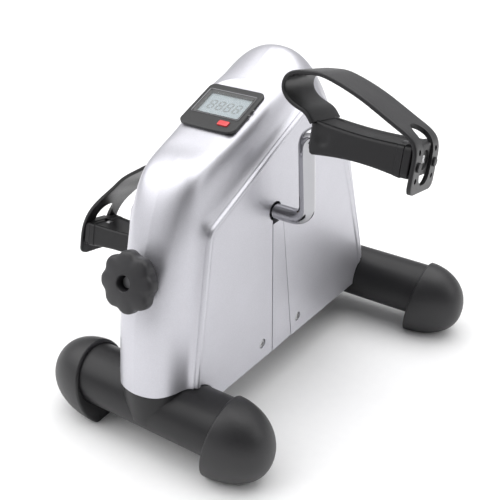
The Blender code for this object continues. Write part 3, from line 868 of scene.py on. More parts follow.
# ---- floor frame --------------------------------------------------------------------------
@dataclass
class FloorFrame:
    """The two floor tubes and their four ball-like end caps."""

    finishes: Finishes
    tube_radius: float = 25.0
    tube_z: float = 38.0
    tube_y: float = 130.6
    rim_x: dict[Row, float] = field(default_factory=lambda: {Row.FRONT: 60.7, Row.REAR: 112.3})
    cap_reach: float = 43.0
    cap_half_width: float = 29.5
    cap_half_height: float = 37.0
    cap_z: float = 30.0
    socket: float = 11.7

    def build(self) -> None:
        """Builds both rows."""
        for row in Row:
            self.tube(row)
            for side in Side:
                self.cap(row, side)
        self.saddle()

    def saddle(self) -> None:
        """The black cone under the shell's toe that grows out of the front tube."""
        upright = Placement((0, -131.0, 0), (1, 0, 0), (0, 1, 0), (0, 0, 1))
        profile = [(0, 27), (22, 27), (24.9, 32), (25.7, 38), (26.6, 50), (26.9, 58),
                   (26.9, 62.6), (26.4, 63.2), (0, 63.2)]
        piece = turned("tube_saddle", profile, upright, 96, crease=34.0)
        back = np.array([(-131, 20), (-90, 20), (-90, 70), (-131, 70)])
        carve(piece, [prism("back", back, ALONG_X, -40, 40)], 34.0)
        hang(piece, self.finishes["black_enamel"], "frame")

    def tube(self, row: Row) -> None:
        """A hollow tube: a closed profile with eased mouths, turned about x.

        Args:
            row: The front or the rear tube.
        """
        half = self.rim_x[row] + self.socket
        outer, inner = self.tube_radius, self.tube_radius - 2.0
        profile = [
            (outer, 0.0), (outer, half - 0.4), (outer - 0.4, half), (inner + 0.3, half),
            (inner, half - 0.3), (inner, -half + 0.3), (inner + 0.3, -half),
            (outer - 0.4, -half), (outer, -half + 0.4), (outer, 0.0),
        ]
        place = Placement(
            (0.0, row.value * self.tube_y, self.tube_z), (0, 1, 0), (0, 0, 1), (1, 0, 0)
        )
        radius, height = np.array(profile).T
        turn = np.linspace(0, 2 * math.pi, 96, endpoint=False)
        net = Patchwork()
        net.sheet(
            place.at(radius[:, None] * np.cos(turn), radius[:, None] * np.sin(turn),
                     height[:, None]), wrap=True,
        )
        piece = net.build(f"{row.word}_floor_tube")
        hang(piece, self.finishes["black_enamel"], "frame", (f"{row.word}_tube",))

    def cap(self, row: Row, side: Side) -> None:
        """One end cap. From the pole inward the ring shrinks as cos(swing)^0.85 while it moves
        out as sin(swing); everything under the floor is pressed flat onto it, and the open
        rim leans so that its top stands further out. The rim is eased, then turns into the
        socket for the tube.

        Args:
            row: The tube it closes.
            side: The end of that tube.
        """
        swing = np.radians(np.concatenate([np.linspace(90, 84, 7), np.linspace(81, 3, 34)]))
        ring = np.cos(swing).clip(0.0) ** 0.85
        out = self.cap_reach * np.sin(swing)
        lean = 0.17 * (1.0 - np.sin(swing))
        for size, shift in ((1.0, 1.4), (0.992, 0.7), (0.975, 0.25), (0.95, 0.0)):
            ring = np.append(ring, size)
            out = np.append(out, shift)
            lean = np.append(lean, 0.17)
        turn = np.linspace(0, 2 * math.pi, 120, endpoint=False)
        y = self.cap_half_width * ring[:, None] * np.cos(turn)
        z = np.maximum(0.0, self.cap_z + self.cap_half_height * ring[:, None] * np.sin(turn))
        x = self.rim_x[row] + out[:, None] + lean[:, None] * (z - self.tube_z)
        base = row.value * self.tube_y
        dome = np.stack([side.value * x, base + y, z], axis=-1)
        bore = np.array([self.tube_radius + 0.45, self.tube_radius + 0.15, self.tube_radius + 0.15])
        depth = np.array([0.0, 0.6, self.socket + 0.5])
        hold_z = self.tube_z + bore[:, None] * np.sin(turn)
        hold_x = self.rim_x[row] + depth[:, None] + np.array([0.17, 0.17, 0.0])[:, None] * (
            hold_z - self.tube_z
        )
        hold = np.stack(
            [side.value * hold_x, base + bore[:, None] * np.cos(turn), hold_z], axis=-1
        )
        net = Patchwork()
        rows = net.sheet(np.concatenate([dome, hold]), wrap=True)
        net.lid(rows[-1])
        piece = net.build(f"end_cap_{row.word}_{side.word}", crease=38.0)
        hang(
            piece, self.finishes["cap_plastic"], "frame",
            (f"foot_cap_{row.word}_{side.word}",),
        )


# ---- housing --------------------------------------------------------------------------------
class Section(Enum):
    """How the housing curves from its middle to its flat side: (share of half width, share of
    the way down), as a control polygon that is rounded by corner cutting."""

    SPINE = ((0, 0), (.24, .03), (.48, .14), (.64, .33), (.745, .55), (.8, .73), (.84, .86),
             (.89, .94), (.945, .98), (1, 1))
    SHOULDER = ((0, 0), (.27, .03), (.5, .12), (.635, .27), (.725, .45), (.785, .62), (.83, .77),
                (.885, .89), (.945, .96), (1, 1))
    RAMP = ((0, 0), (.35, .01), (.55, .05), (.66, .13), (.735, .27), (.78, .45), (.82, .65),
            (.875, .83), (.94, .94), (1, 1))
    CROWN = ((0, 0), (.2, .02), (.4, .13), (.55, .28), (.68, .46), (.78, .65), (.85, .79),
             (.92, .91), (1, 1))
    REAR = ((0, 0), (.5, 0), (.8, .02), (.88, .07), (.94, .25), (.975, .5), (.993, .8), (1, 1))


@dataclass
class Housing:
    """The silver shell: a rounded spine at the front, a ramp with a flat pad for the console,
    a crowned hood and flat sides framed by a raised bead."""

    finishes: Finishes
    rows: int = 460
    columns: int = 46
    wall: float = 2.8
    pad: float = -2.45
    stations: tuple[tuple[float, float, float, float, Section], ...] = (
        (-159.6, 38, -138.6, 38, Section.SPINE), (-158.7, 58, -137, 58, Section.SPINE),
        (-156.2, 84, -132.8, 84, Section.SPINE), (-152, 118, -126.2, 118, Section.SPINE),
        (-145.4, 142, -121.5, 142, Section.SPINE), (-137.7, 164, -117.2, 164, Section.SPINE),
        (-129.2, 186, -113.4, 182, Section.SHOULDER),
        (-121.6, 203, -111.6, 188.5, Section.SHOULDER),
        (-113.5, 217, -108.4, 193, Section.SHOULDER), (-106, 225, -102.5, 196, Section.RAMP),
        (-96, 230.2, -92, 200.4, Section.RAMP), (-80, 234.8, -75, 207.6, Section.RAMP),
        (-58, 240.9, -50, 218.3, Section.RAMP), (-34.7, 249.6, -25, 229, Section.RAMP),
        (-9.1, 260.6, 0, 239.7, Section.RAMP), (5.6, 267.4, 10, 243.9, Section.CROWN),
        (20, 274.4, 20, 247.0, Section.CROWN), (31.8, 279.4, 28, 248.0, Section.CROWN),
        (41, 280.0, 35, 246.8, Section.CROWN), (51, 276.4, 42, 243.4, Section.CROWN),
        (62, 268.4, 49, 236, Section.CROWN), (72, 257, 57, 226, Section.CROWN),
        (80, 242.5, 65.5, 213, Section.CROWN), (86.5, 224, 74.5, 198, Section.CROWN),
        (92.2, 200, 83, 180, Section.REAR), (98, 170, 89, 163, Section.REAR),
        (105, 141, 98, 139, Section.REAR), (111.5, 118, 105, 117, Section.REAR),
        (119.5, 90, 114, 90, Section.REAR), (126, 64, 121, 64, Section.REAR),
        (131, 38, 126, 38, Section.REAR),
    )
    screws: tuple[tuple[float, float], ...] = ((-42.5, 53.8), (9.6, 52.6))

    @staticmethod
    def panel(y: np.ndarray | float, z: np.ndarray | float) -> np.ndarray | float:
        """Half the width of the shell at its flat side, a plane in y and z."""
        return 44.89 + 0.08 * y - 0.013 * (z - 40.0)

    def outlines(self, rows: int) -> tuple[np.ndarray, np.ndarray, np.ndarray]:
        """The middle outline, the edge outline and the mix of section shapes along them. The
        edge follows the shell's taper: where the flat side moves in by t, it moves back by
        1.563 t and down by 1.086 t, half as much behind the crank.

        Args:
            rows: How many points along the shell.

        Returns:
            Middle (y, z), edge (y, z) and the share of each section shape, one row a point.
        """
        kinds = list(Section)
        known = np.array([s[:4] for s in self.stations], float)
        share = np.eye(len(kinds))[[kinds.index(s[4]) for s in self.stations]]
        track = flowing(np.hstack([known, share]), rows, columns=4)
        step = max(1, rows // 100)
        line = soften(track[:, :4], 4 * step)
        mix = soften(track[:, 4:].clip(0.0), 9 * step * step)
        mix /= mix.sum(axis=1, keepdims=True)
        lean = (0.42 + 0.03 * line[:, 2]) * (1.0 - 0.5 * rise(line[:, 2], -20.0, 60.0))
        line[:, 3] += 1.086 * lean * rise(line[:, 3], 38.0, 90.0)
        line[:, 2] -= 1.563 * lean
        line[[0, -1], 1] = line[[0, -1], 3] = 38.0
        return line[:, :2], line[:, 2:], mix

    def skin(self, rows: int, columns: int) -> tuple[np.ndarray, np.ndarray]:
        """The right half of the skin. A point is the middle outline plus a share of the way to
        the edge outline, at a share of the half width, both from the mixed section shapes.

        Args:
            rows: Points along the shell.
            columns: Points from the middle to the flat side.

        Returns:
            The points (rows, columns, 3) and the edge outline.
        """
        middle, edge, mix = self.outlines(rows)
        shapes = []
        for kind in Section:
            curve = corner_cut(np.array(kind.value, float), 4)
            even = evenly(curve * np.array([40.0, 24.0]), columns) / np.array([40.0, 24.0])
            shapes.append(even)
        shape = np.einsum("rk,kcd->rcd", mix, np.array(shapes))
        half = self.panel(edge[:, 0], edge[:, 1])
        x = half[:, None] * shape[:, :, 0]
        yz = middle[:, None] + (edge - middle)[:, None] * shape[:, :, 1:]
        return np.concatenate([x[..., None], yz], axis=2), edge

    def press_pad(self, points: np.ndarray) -> np.ndarray:
        """Presses the console's pad flat: heights over the console's plane are held under the
        pad's level as far back as an arc, 24.5 + 7 (1 - (a / 26)^2). At d behind the arc the
        limit climbs by 0.6 (d + sqrt(d^2 + 3)) + 0.2 d^2, until it leaves the hood.

        Args:
            points: The skin's points, with x, y and z on the last axis.

        Returns:
            The pressed points.
        """
        down = points[..., 1] - PAD_AT[0]
        up = points[..., 2] - PAD_AT[1]
        along = down * math.cos(PAD_TILT) + up * math.sin(PAD_TILT)
        height = -down * math.sin(PAD_TILT) + up * math.cos(PAD_TILT)
        arc = 24.5 + 7.0 * (1.0 - (points[..., 0] / 26.0) ** 2)
        past = along - arc
        limit = self.pad + 0.6 * (past + np.sqrt(past**2 + 3.0)) + 0.2 * np.clip(past, 0, 9) ** 2
        gap = height - limit
        soft = 0.5 * (height + limit - np.sqrt(gap**2 + 0.4)) + 0.316 * np.exp(-(gap / 4) ** 2)
        inside = rise(along, -60.0, -40.0)
        wanted = height + (soft - height) * inside
        change = wanted - height
        pressed = points.copy()
        pressed[..., 1] -= change * math.sin(PAD_TILT)
        pressed[..., 2] += change * math.cos(PAD_TILT)
        return pressed

    def bead(self, edge: np.ndarray) -> np.ndarray:
        """The bead round the flat side. Going in from the edge by e, the face dips 1.2 mm in a
        narrow groove at 0.9, stands 2.3 mm proud from 1.6 to 6.4, and falls back to the plane;
        the relief fades towards the rear.

        Args:
            edge: The edge outline (y, z).

        Returns:
            Points (rows, steps, 3) on the right side, from the edge inwards.
        """
        reach = np.array([0.3, .6, .85, 1.1, 1.4, 1.7, 2.0, 2.3, 2.7, 3.3, 4.1, 4.9, 5.4, 5.8,
                          6.2, 6.6, 7.1, 7.8, 8.6, 9.6])
        tangent = np.gradient(edge, axis=0)
        tangent /= np.linalg.norm(tangent, axis=1)[:, None]
        inward = soften(np.stack([tangent[:, 1], -tangent[:, 0]], axis=1), 6)
        inward[0], inward[-1] = (1.0, 0.0), (-1.0, 0.0)
        place = edge[:, None] + inward[:, None] * reach[None, :, None]
        groove = -1.2 * np.exp(-(((reach - 0.9) / 0.45) ** 2))
        ridge = 1.15 * (np.tanh((reach - 2.0) / 0.55) - np.tanh((reach - 6.2) / 0.7))
        along = np.linspace(0.0, 1.0, len(edge))
        fade = 1.0 - 0.75 * rise(along, 0.56, 0.72)
        relief = fade[:, None] * (groove + ridge)
        x = self.panel(place[..., 0], place[..., 1]) + relief
        return np.concatenate([x[..., None], place], axis=2)

    @staticmethod
    def sewn(right: np.ndarray, name: str, crease: float) -> bpy.types.Object:
        """Mirrors a right half across x = 0 and closes both flat sides and the bottom.

        Args:
            right: Points (rows, columns, 3), from the middle outwards.
            name: The object's name.
            crease: The sharp-edge angle in degrees.

        Returns:
            The closed shape.
        """
        mirror = right[:, :0:-1] * np.array([-1.0, 1.0, 1.0])
        net = Patchwork()
        number = net.sheet(np.concatenate([mirror, right], axis=1))
        net.lid(number[:, 0])
        net.lid(number[:, -1])
        net.lid(np.concatenate([number[0], number[-1, ::-1]]))
        return net.build(name, crease)

    def solid(self) -> bpy.types.Object:
        """The outer body of the shell, before its hollow and openings are cut.

        Returns:
            The closed body.
        """
        half, edge = self.skin(self.rows, self.columns)
        right = np.concatenate([self.press_pad(half), self.bead(edge)], axis=1)
        return self.sewn(right, "housing_cover", 40.0)

    def hollow(self) -> bpy.types.Object:
        """The inner hollow: the same skin, moved in by the wall and run out below.

        Returns:
            The closed hollow, as a cutter.
        """
        half, edge = self.skin(200, 26)
        middle = half[:, 0, 1:]
        tangent = np.gradient(middle, axis=0)
        tangent /= np.linalg.norm(tangent, axis=1)[:, None]
        inward = np.stack([tangent[:, 1], -tangent[:, 0]], axis=1) * self.wall
        shrink = 1.0 - self.wall / self.panel(edge[:, 0], edge[:, 1])
        half = self.press_pad(half)
        half[..., 0] *= shrink[:, None]
        half[..., 1:] += inward[:, None]
        half[[0, -1], :, 2] = 30.0
        return self.sewn(half, "hollow", 32.0)

    def openings(self) -> list[bpy.types.Object]:
        """The shapes cut from the shell: tubes, toe, slot, crank, screws, console and knob.

        Returns:
            The closed cutters, in the order they are used.
        """
        shapes = [self.hollow()]
        for row in Row:
            place = Placement((0, row.value * 130.6, 38.0), (0, 1, 0), (0, 0, 1), (1, 0, 0))
            shapes.append(turned("tube_way", [(25.7, -90), (25.7, 90)], place, 96))
        toe = np.array([(-190, 20), (-130.6, 20), (-130.6, 63.6), (-190, 63.6)])
        shapes.append(prism("toe", toe, ALONG_X, -60, 60))
        slot = np.array([(-29, 30), (1.1, 30), (-14, 162), (-19, 171.5), (-28, 171.5),
                         (-28.6, 160)])
        shapes.append(prism("slot", slot, ALONG_X, -70, 70))
        shapes.append(turned("crank_way", [(8.0, -70), (8.0, 70)], ALONG_X, 64, HUB))
        for at in self.screws:
            shapes.append(turned("screw_way", [(2.3, -70), (2.3, 70)], ALONG_X, 24, at))
            for side in Side:
                face = Placement((0, 0, 0), (0, 1, 0), (0, 0, 1), (side.value, 0, 0))
                top = float(self.panel(*at))
                shapes.append(turned(
                    "head_way", [(4.2, top - 1.6), (4.2, top), (4.5, top + 0.3),
                                 (4.5, 70)], face, 48, at,
                ))
        wide, tall = ring_outline(22.0, 22.0, 3.0)
        shapes.append(prism("console_way", np.stack([wide, tall], axis=1), CONSOLE, -30, 20))
        shapes.append(turned("knob_way", [(6.5, 80), (6.5, 135)], TENSION, 48))
        return shapes

    def build(self) -> None:
        """Builds the shell and its four screws."""
        shell = self.solid()
        for cutter in self.openings():
            carve(shell, [cutter], crease=40.0)
        hang(shell, self.finishes["silver"], "frame", ("housing_shell",))
        for side in Side:
            for index, word in enumerate(("front", "rear")):
                self.screw(side, index, word)

    def screw(self, side: Side, index: int, word: str) -> None:
        """A pan-head screw: a turned head with a domed top, and a cross cut into it.

        Args:
            side: The side of the shell.
            index: Which place in the list of screws.
            word: The place's name in the CAD node.
        """
        at = self.screws[index]
        top = float(self.panel(*at))
        place = Placement((0, 0, 0), (0, 1, 0), (0, 0, 1), (side.value, 0, 0))
        profile = [(1.9, top - 10), (1.9, top - 1.4), (3.7, top - 1.35), (3.8, top - 1.1),
                   (3.75, top - .75), (3.4, top - .45), (2.7, top - .25), (1.6, top - .15),
                   (0, top - .1)]
        head = turned(f"cover_screw_{word}_{side.word}", profile, place, 48, at, 40.0)
        cutters = []
        for wide, tall in ((2.3, 0.38), (0.38, 2.3)):
            a, b = ring_outline(wide, tall, 0.2, 3, 2)
            outline = np.stack([a + at[0], b + at[1]], axis=1)
            cutters.append(prism("cross", outline, place, top - 0.95, top + 1))
        carve(head, cutters, 40.0)
        hang(head, self.finishes["steel"], "frame", (f"shell_screw_{word}_{side.word}",))


# ---- crank and knob ---------------------------------------------------------------------------
@dataclass
class Crank:
    """The chrome rod, bent into two arms."""

    finishes: Finishes
    rod_radius: float = 6.25
    arm_x: float = 69.5
    bend: float = 12.5
    end_x: float = 146.0

    def path(self) -> np.ndarray:
        """Straight runs joined by quarter-circle bends: every corner becomes an arc about the
        point a bend radius away from both runs.

        Returns:
            Points along the rod's middle, from the right end to the left.
        """
        lean = np.array([0.0, *THROW])
        hub = np.array([0.0, *HUB])
        x = np.array([1.0, 0.0, 0.0])
        corners = [
            hub + lean + x * self.end_x, hub + lean + x * self.arm_x, hub + x * self.arm_x,
            hub - x * self.arm_x, hub - lean - x * self.arm_x, hub - lean - x * self.end_x,
        ]
        runs = [corners[0][None]]
        swing = np.linspace(0.0, math.pi / 2, 20)[:, None]
        for before, corner, after in zip(corners[:-2], corners[1:-1], corners[2:]):
            back = (before - corner) / np.linalg.norm(before - corner)
            ahead = (after - corner) / np.linalg.norm(after - corner)
            middle = corner + (back + ahead) * self.bend
            runs.append(middle - self.bend * (ahead * np.cos(swing) + back * np.sin(swing)))
        runs.append(corners[-1][None])
        return np.concatenate(runs)

    def build(self) -> None:
        """Carries a circle along the path; each circle stands square to the path."""
        path = self.path()
        side = np.cross([1.0, 0.0, 0.0], [0.0, *THROW])
        side /= np.linalg.norm(side)
        step = np.diff(path, axis=0)
        step /= np.linalg.norm(step, axis=1)[:, None]
        tangent = np.concatenate([step[:1], step[:-1] + step[1:], step[-1:]])
        tangent /= np.linalg.norm(tangent, axis=1)[:, None]
        across = np.cross(side, tangent)
        turn = np.linspace(0, 2 * math.pi, 56, endpoint=False)
        rings = path[:, None] + self.rod_radius * (
            np.cos(turn)[None, :, None] * across[:, None] + np.sin(turn)[None, :, None] * side
        )
        piece = Patchwork().tube(rings).build("crank_rod", crease=40.0)
        hang(piece, self.finishes["chrome"], "crank", ("crank",))


@dataclass
class TensionKnob:
    """The eight-lobed hand knob that turns the tension screw."""

    finishes: Finishes
    lobes: int = 8
    scallop: float = 2.1
    phase: float = 9.0

    def build(self) -> None:
        """A lobed solid: each ring's radius is the profile's, less a scallop that grows
        between the lobes as ((1 - cos 8t) / 2)^1.5, faded out on the collar and the face.
        """
        profile = np.array([
            (5.0, 105.3, 0), (15.6, 105.3, 0), (16.1, 105.8, 0), (16.2, 107.6, .1),
            (16.6, 108.2, .1), (18.2, 108.5, .25), (18.6, 108.9, .35), (18.7, 110.2, .4),
            (18.9, 110.6, .5), (20.2, 110.9, .8), (20.6, 111.3, .9), (20.7, 112.6, .9),
            (20.9, 113.0, 1), (22.0, 113.3, 1), (22.5, 113.8, 1), (22.7, 115.5, 1),
            (22.7, 118.5, 1), (22.6, 120.2, 1), (22.2, 121.2, 1), (21.6, 121.9, 1),
            (20.9, 122.4, 1), (19.5, 122.8, .85), (17.1, 123.3, .5), (13.5, 123.9, .2),
            (9.8, 124.4, .05), (7.2, 124.7, 0), (6.3, 124.7, 0), (5.9, 124.4, 0),
            (5.6, 123.8, 0), (5.6, 116.0, 0), (5.0, 105.6, 0),
        ])
        turn = np.linspace(0, 2 * math.pi, 240, endpoint=False)
        wave = (0.5 - 0.5 * np.cos(self.lobes * (turn - math.radians(self.phase)))) ** 1.5
        radius = profile[:, :1] - self.scallop * profile[:, 2:] * wave
        rings = TENSION.at(radius * np.cos(turn), radius * np.sin(turn), profile[:, 1:2])
        piece = Patchwork().hoop(rings).build("hand_knob", crease=28.0)
        hang(piece, self.finishes["knob_plastic"], "knob", ("tension_knob",))


# ---- console ------------------------------------------------------------------------------------
@dataclass
class Console:
    """The counter on the ramp: bezel, window frames, display, button and keys; the clear cover is
    the CAD lens.
    """

    finishes: Finishes
    low: tuple[float, float] = (-25.2, -23.9)
    high: tuple[float, float] = (24.2, 24.6)
    corner: float = 5.2
    bow: float = 1.4

    def outline(self, inset: float) -> tuple[np.ndarray, np.ndarray]:
        """The bezel's outline moved in by the inset; its lower edge bows out as 1 - (a / w)^2.

        Args:
            inset: How far the outline moves in.

        Returns:
            The a and b of the outline.
        """
        wide = (self.high[0] - self.low[0]) / 2 - inset
        tall = (self.high[1] - self.low[1]) / 2 - inset
        a, b = ring_outline(wide, tall, max(0.6, self.corner - inset), 10, 16)
        b = b - self.bow * (1 - (a / wide) ** 2) * (b < 0) * np.abs(b / tall) ** 3
        return (
            a + (self.low[0] + self.high[0]) / 2,
            b + (self.low[1] + self.high[1]) / 2,
        )

    def bezel(self) -> None:
        """The bezel: rings of its outline, eased at the top edge, closed below."""
        profile = ((1.2, -2.35), (0.15, -2.3), (0.0, -2.0), (0.0, -0.75), (0.12, -0.35),
                   (0.45, -0.06), (0.95, 0.05), (1.8, 0.1), (6.0, 0.14))
        rings = []
        for inset, height in profile:
            a, b = self.outline(inset)
            rings.append(CONSOLE.at(a, b, height))
        piece = Patchwork().tube(np.array(rings)).build("console_face", crease=30.0)
        wide, tall = ring_outline(21.5, 14.6, 2.0)
        window = prism("window", np.stack([wide - 0.4, tall + 3.45], axis=1), CONSOLE, -8, 5)
        wide, tall = ring_outline(4.8, 2.8, 1.2)
        button = prism("button_way", np.stack([wide + 11.8, tall - 17], axis=1), CONSOLE, -8, 5)
        for cutter in (window, button):
            carve(piece, [cutter], 30.0)
        hang(piece, self.finishes["console_plastic"], "frame",
             ("console_bezel",))

    def frame_ring(
        self, name: str, outer: tuple[float, float], inner: tuple[float, float],
        heights: tuple[float, float, float], finish: str,
    ) -> None:
        """A stepped rectangular ring in the window, from its outer wall over its top and down.

        Args:
            name: The piece's name.
            outer: Half width and half height outside.
            inner: Half width and half height inside.
            heights: Bottom, outer top and inner top.
            finish: The finish's name.
        """
        bottom, crest, fall = heights
        rings = []
        for share, height in ((0, bottom), (0, crest), (0.12, crest + 0.12), (0.3, crest + .12),
                              (0.8, fall + 0.1), (1.0, fall), (1.0, bottom)):
            wide = outer[0] + (inner[0] - outer[0]) * share
            tall = outer[1] + (inner[1] - outer[1]) * share
            a, b = ring_outline(wide, tall, 1.7 - 0.5 * share, 6, 4)
            rings.append(CONSOLE.at(a - 0.4, b + 3.45, height))
        piece = Patchwork().hoop(np.array(rings)).build(name, 30.0)
        hang(piece, self.finishes[finish], "frame")

    def digits(self) -> None:
        """Four seven-bar digits on the display; each bar is a thin six-sided lozenge."""
        net = Patchwork()
        bars = {  # middle of each bar, in digit units, and whether it lies flat
            "top": (0.0, 1.0, True), "middle": (0.0, 0.0, True), "bottom": (0.0, -1.0, True),
            "upper_left": (-0.5, 0.5, False), "upper_right": (0.5, 0.5, False),
            "lower_left": (-0.5, -0.5, False), "lower_right": (0.5, -0.5, False),
        }
        for column in range(4):
            middle = -11.6 + 7.5 * column
            for across, up, flat in bars.values():
                reach, thick = (1.75, 0.62) if flat else (2.15, 0.62)
                long = np.array([-reach, -reach + thick, reach - thick, reach, reach - thick,
                                 -reach + thick])
                short = np.array([0, thick, thick, 0, -thick, -thick])
                a, b = (long, short) if flat else (short, long)
                b = b + up * 4.7
                a = a + middle + across * 4.3 + 0.1 * b
                b = b + 3.1
                net.tube(CONSOLE.at(a, b, np.array([[-2.18], [-2.05]])))
        hang(net.build("display_digits"), self.finishes["display_ink"], "frame")

    def build(self) -> None:
        """Builds the console's pieces."""
        self.bezel()
        self.frame_ring("window_outline", (21.4, 14.5), (20.85, 13.95), (-2.3, 0.3, 0.25),
                        "outline_silver")
        self.frame_ring("window_frame", (20.8, 13.9), (18.6, 11.8), (-2.3, 0.2, -0.75),
                        "gloss_black")
        a, b = ring_outline(18.75, 11.95, 0.8, 4, 2)
        panel = prism("display_panel", np.stack([a - 0.4, b + 3.45], axis=1), CONSOLE, -5.2, -2.2)
        hang(panel, self.finishes["display_grey"], "frame", ("lcd_panel",))
        self.digits()
        rings = []
        for inset, height in ((0.0, -5.4), (0.0, 0.75), (0.12, 1.0), (0.4, 1.15), (1.2, 1.2)):
            a, b = ring_outline(4.5 - inset, 2.5 - inset, max(0.25, 1.0 - 0.6 * inset), 6, 4)
            rings.append(CONSOLE.at(a + 11.8, b - 17.0, height))
        button = Patchwork().tube(np.array(rings)).build("red_reset_key")
        hang(button, self.finishes["red_button"], "reset_button",
             ("reset_button",))
        for index, up in enumerate((-1.7, 4.4)):
            swing = np.radians(np.linspace(0, 90, 8))
            turn = np.linspace(0, 2 * math.pi, 28, endpoint=False)
            out = 24.0 + 1.5 * np.sin(swing)[:, None]
            lump = CONSOLE.at(
                out, up + 1.6 * np.cos(swing)[:, None] * np.cos(turn),
                -1.1 + 0.75 * np.cos(swing)[:, None] * np.sin(turn),
            )
            piece = Patchwork().tube(lump).build(f"side_key_{index + 1}")
            hang(piece, self.finishes["gloss_black"], "frame")


# ---- pedals -------------------------------------------------------------------------------------
@dataclass
class PedalUnit:
    """One foot rest with its end cap, side letter and rubber strap."""

    finishes: Finishes
    side: Side
    inner: float = 79.6
    outer: float = 150.0
    half_inner: float = 16.0
    half_outer: float = 20.0
    half_tall: float = 12.2
    tilt: float = -13.0
    strap_half: float = 22.0
    strap_thick: float = 3.0
    peg_a: float = 15.2
    peg_b: float = -4.2
    paths: dict[Side, tuple[tuple[float, float], ...]] = field(default_factory=lambda: {
        Side.RIGHT: ((83, 10), (77, 16.4), (68.5, 19.3), (61.5, 23.5), (57.5, 29.5),
                     (58.5, 37), (64.5, 41), (73.5, 42.2), (83, 42.8), (92, 41),
                     (104.5, 37), (117, 32), (129, 26.2), (141, 20.2), (150, 15.8),
                     (156, 11), (158.3, 4), (158.4, -5), (158.4, -14), (158.4, -23.0)),
        Side.LEFT: ((83, 11.5), (78.6, 20), (77.6, 45), (77.8, 70), (80.5, 78),
                    (87.5, 77.6), (96, 72.5), (114, 60), (126, 47.5), (136, 37.5),
                    (147, 25), (153.6, 14), (157, 4), (158.2, -5), (158.4, -14),
                    (158.4, -23.0)),
    })

    def place(self) -> Placement:
        """The pedal's frame: a across the foot, b up, h outward along the spindle.

        Returns:
            The frame, with its origin on the machine's middle plane.
        """
        tilt = math.radians(self.tilt)
        throw = self.side.value
        return Placement(
            (0.0, HUB[0] + THROW[0] * throw, HUB[1] + THROW[1] * throw),
            (0, math.cos(tilt), math.sin(tilt)), (0, -math.sin(tilt), math.cos(tilt)),
            (throw, 0, 0),
        )

    def body(self) -> None:
        """The bar: a round-cornered rectangle swept outward that widens. Its top falls 3.4 mm
        outward and sags as sin(pi t) between two long edge ribs, its underside is waisted as
        sin(pi t), and it has a flange at the outer end, a chamfered inner end and a shallow
        round dimple on each long side near the inner end.
        """
        share = np.concatenate([np.linspace(0, 0.03, 5), np.linspace(0.05, 0.9, 60),
                                np.linspace(0.915, 1.0, 14)])
        along = self.inner + (self.outer - self.inner) * share
        ease = 1.0 - 0.16 * (1 - rise(share, 0.0, 0.035))
        flange = 0.7 * rise(share, 0.925, 0.935)
        wide = (self.half_inner + (self.half_outer - self.half_inner) * share) * ease + flange
        tall = self.half_tall * ease
        a, b = ring_outline(wide, tall, 2.6, 8, 26)
        turned_up = rise(b, 0.0, 10.0)
        sag = (1.7 * np.sin(math.pi * share) + 3.4 * share)[:, None]
        waist = (2.9 * np.sin(math.pi * share) - 0.9)[:, None] * (share > 0.035)[:, None]
        b = b - sag * turned_up + waist * rise(-b, 0.0, 10.0)
        trough = (b > 5) * rise(wide[:, None] - np.abs(a), 3.2, 4.6)
        crossing = rise(share, 0.04, 0.06)[:, None] * (1 - rise(share, 0.955, 0.965))[:, None]
        b = b - 1.1 * trough * crossing
        sides = rise(np.abs(a) / wide[:, None], 0.93, 0.99)
        away = np.hypot(along[:, None] - (self.inner + 11.0), b - 0.2)
        bowl = 0.9 * (1 - rise(away, 2.0, 7.0))
        a = a - np.sign(a) * sides * bowl
        piece = Patchwork().tube(self.place().at(a, b, along[:, None])).build(
            f"foot_rest_{self.side.word}", crease=36.0
        )
        carve(piece, [
            turned("mouth", [(8.2, 70), (8.2, 83), (6.4, 84.4), (6.4, 147.0), (9.0, 147.0),
                             (9.0, 160)], self.place(), 48)
        ], 36.0)
        hang(piece, self.finishes["pedal_plastic"], f"pedal_{self.side.word}",
             (f"pedal_{self.side.word}",))

    def end_cap(self) -> None:
        """The end cap: an eased plate with a raised middle block, a round recess for the side
        letter and two pegs that hold the strap."""
        place = self.place()
        rings = []
        for inset, height in ((0.4, 150.15), (0.0, 150.5), (0.0, 155.0), (0.6, 155.6)):
            a, b = ring_outline(20.6 - inset, 11.2 - inset, 4.0 - inset, 8, 6)
            rings.append(place.at(a, b - 1.7, height))
        plate = Patchwork().tube(np.array(rings)).build("plate")
        rings = []
        for inset, height in ((0.0, 151.5), (0.0, 157.2), (0.25, 157.8), (0.8, 158.1)):
            a, b = ring_outline(8.7 - inset, 10.8 - inset, 2.2 - 0.5 * inset, 8, 6)
            rings.append(place.at(a, b - 1.3, height))
        block = Patchwork().tube(np.array(rings)).build("block")
        parts = [block]
        for a in (-self.peg_a, self.peg_a):
            parts.append(turned("peg", [(2.3, 152), (2.3, 159.8), (3.3, 160.2), (3.3, 160.9),
                                        (2.8, 161.4), (0, 161.5)], place, 28, (a, self.peg_b)))
        for part in parts:
            carve(plate, [part], 34.0, joined=True)
        recess = turned("recess", [(6.6, 157.0), (6.9, 158.0), (6.9, 163)], place, 56, (0, -1.4))
        carve(plate, [recess], 34.0)
        plate.name = f"foot_rest_cap_{self.side.word}"
        hang(plate, self.finishes["pedal_plastic"], f"pedal_{self.side.word}",
             (f"pedal_end_cap_{self.side.word}",))
        self.letter(place)

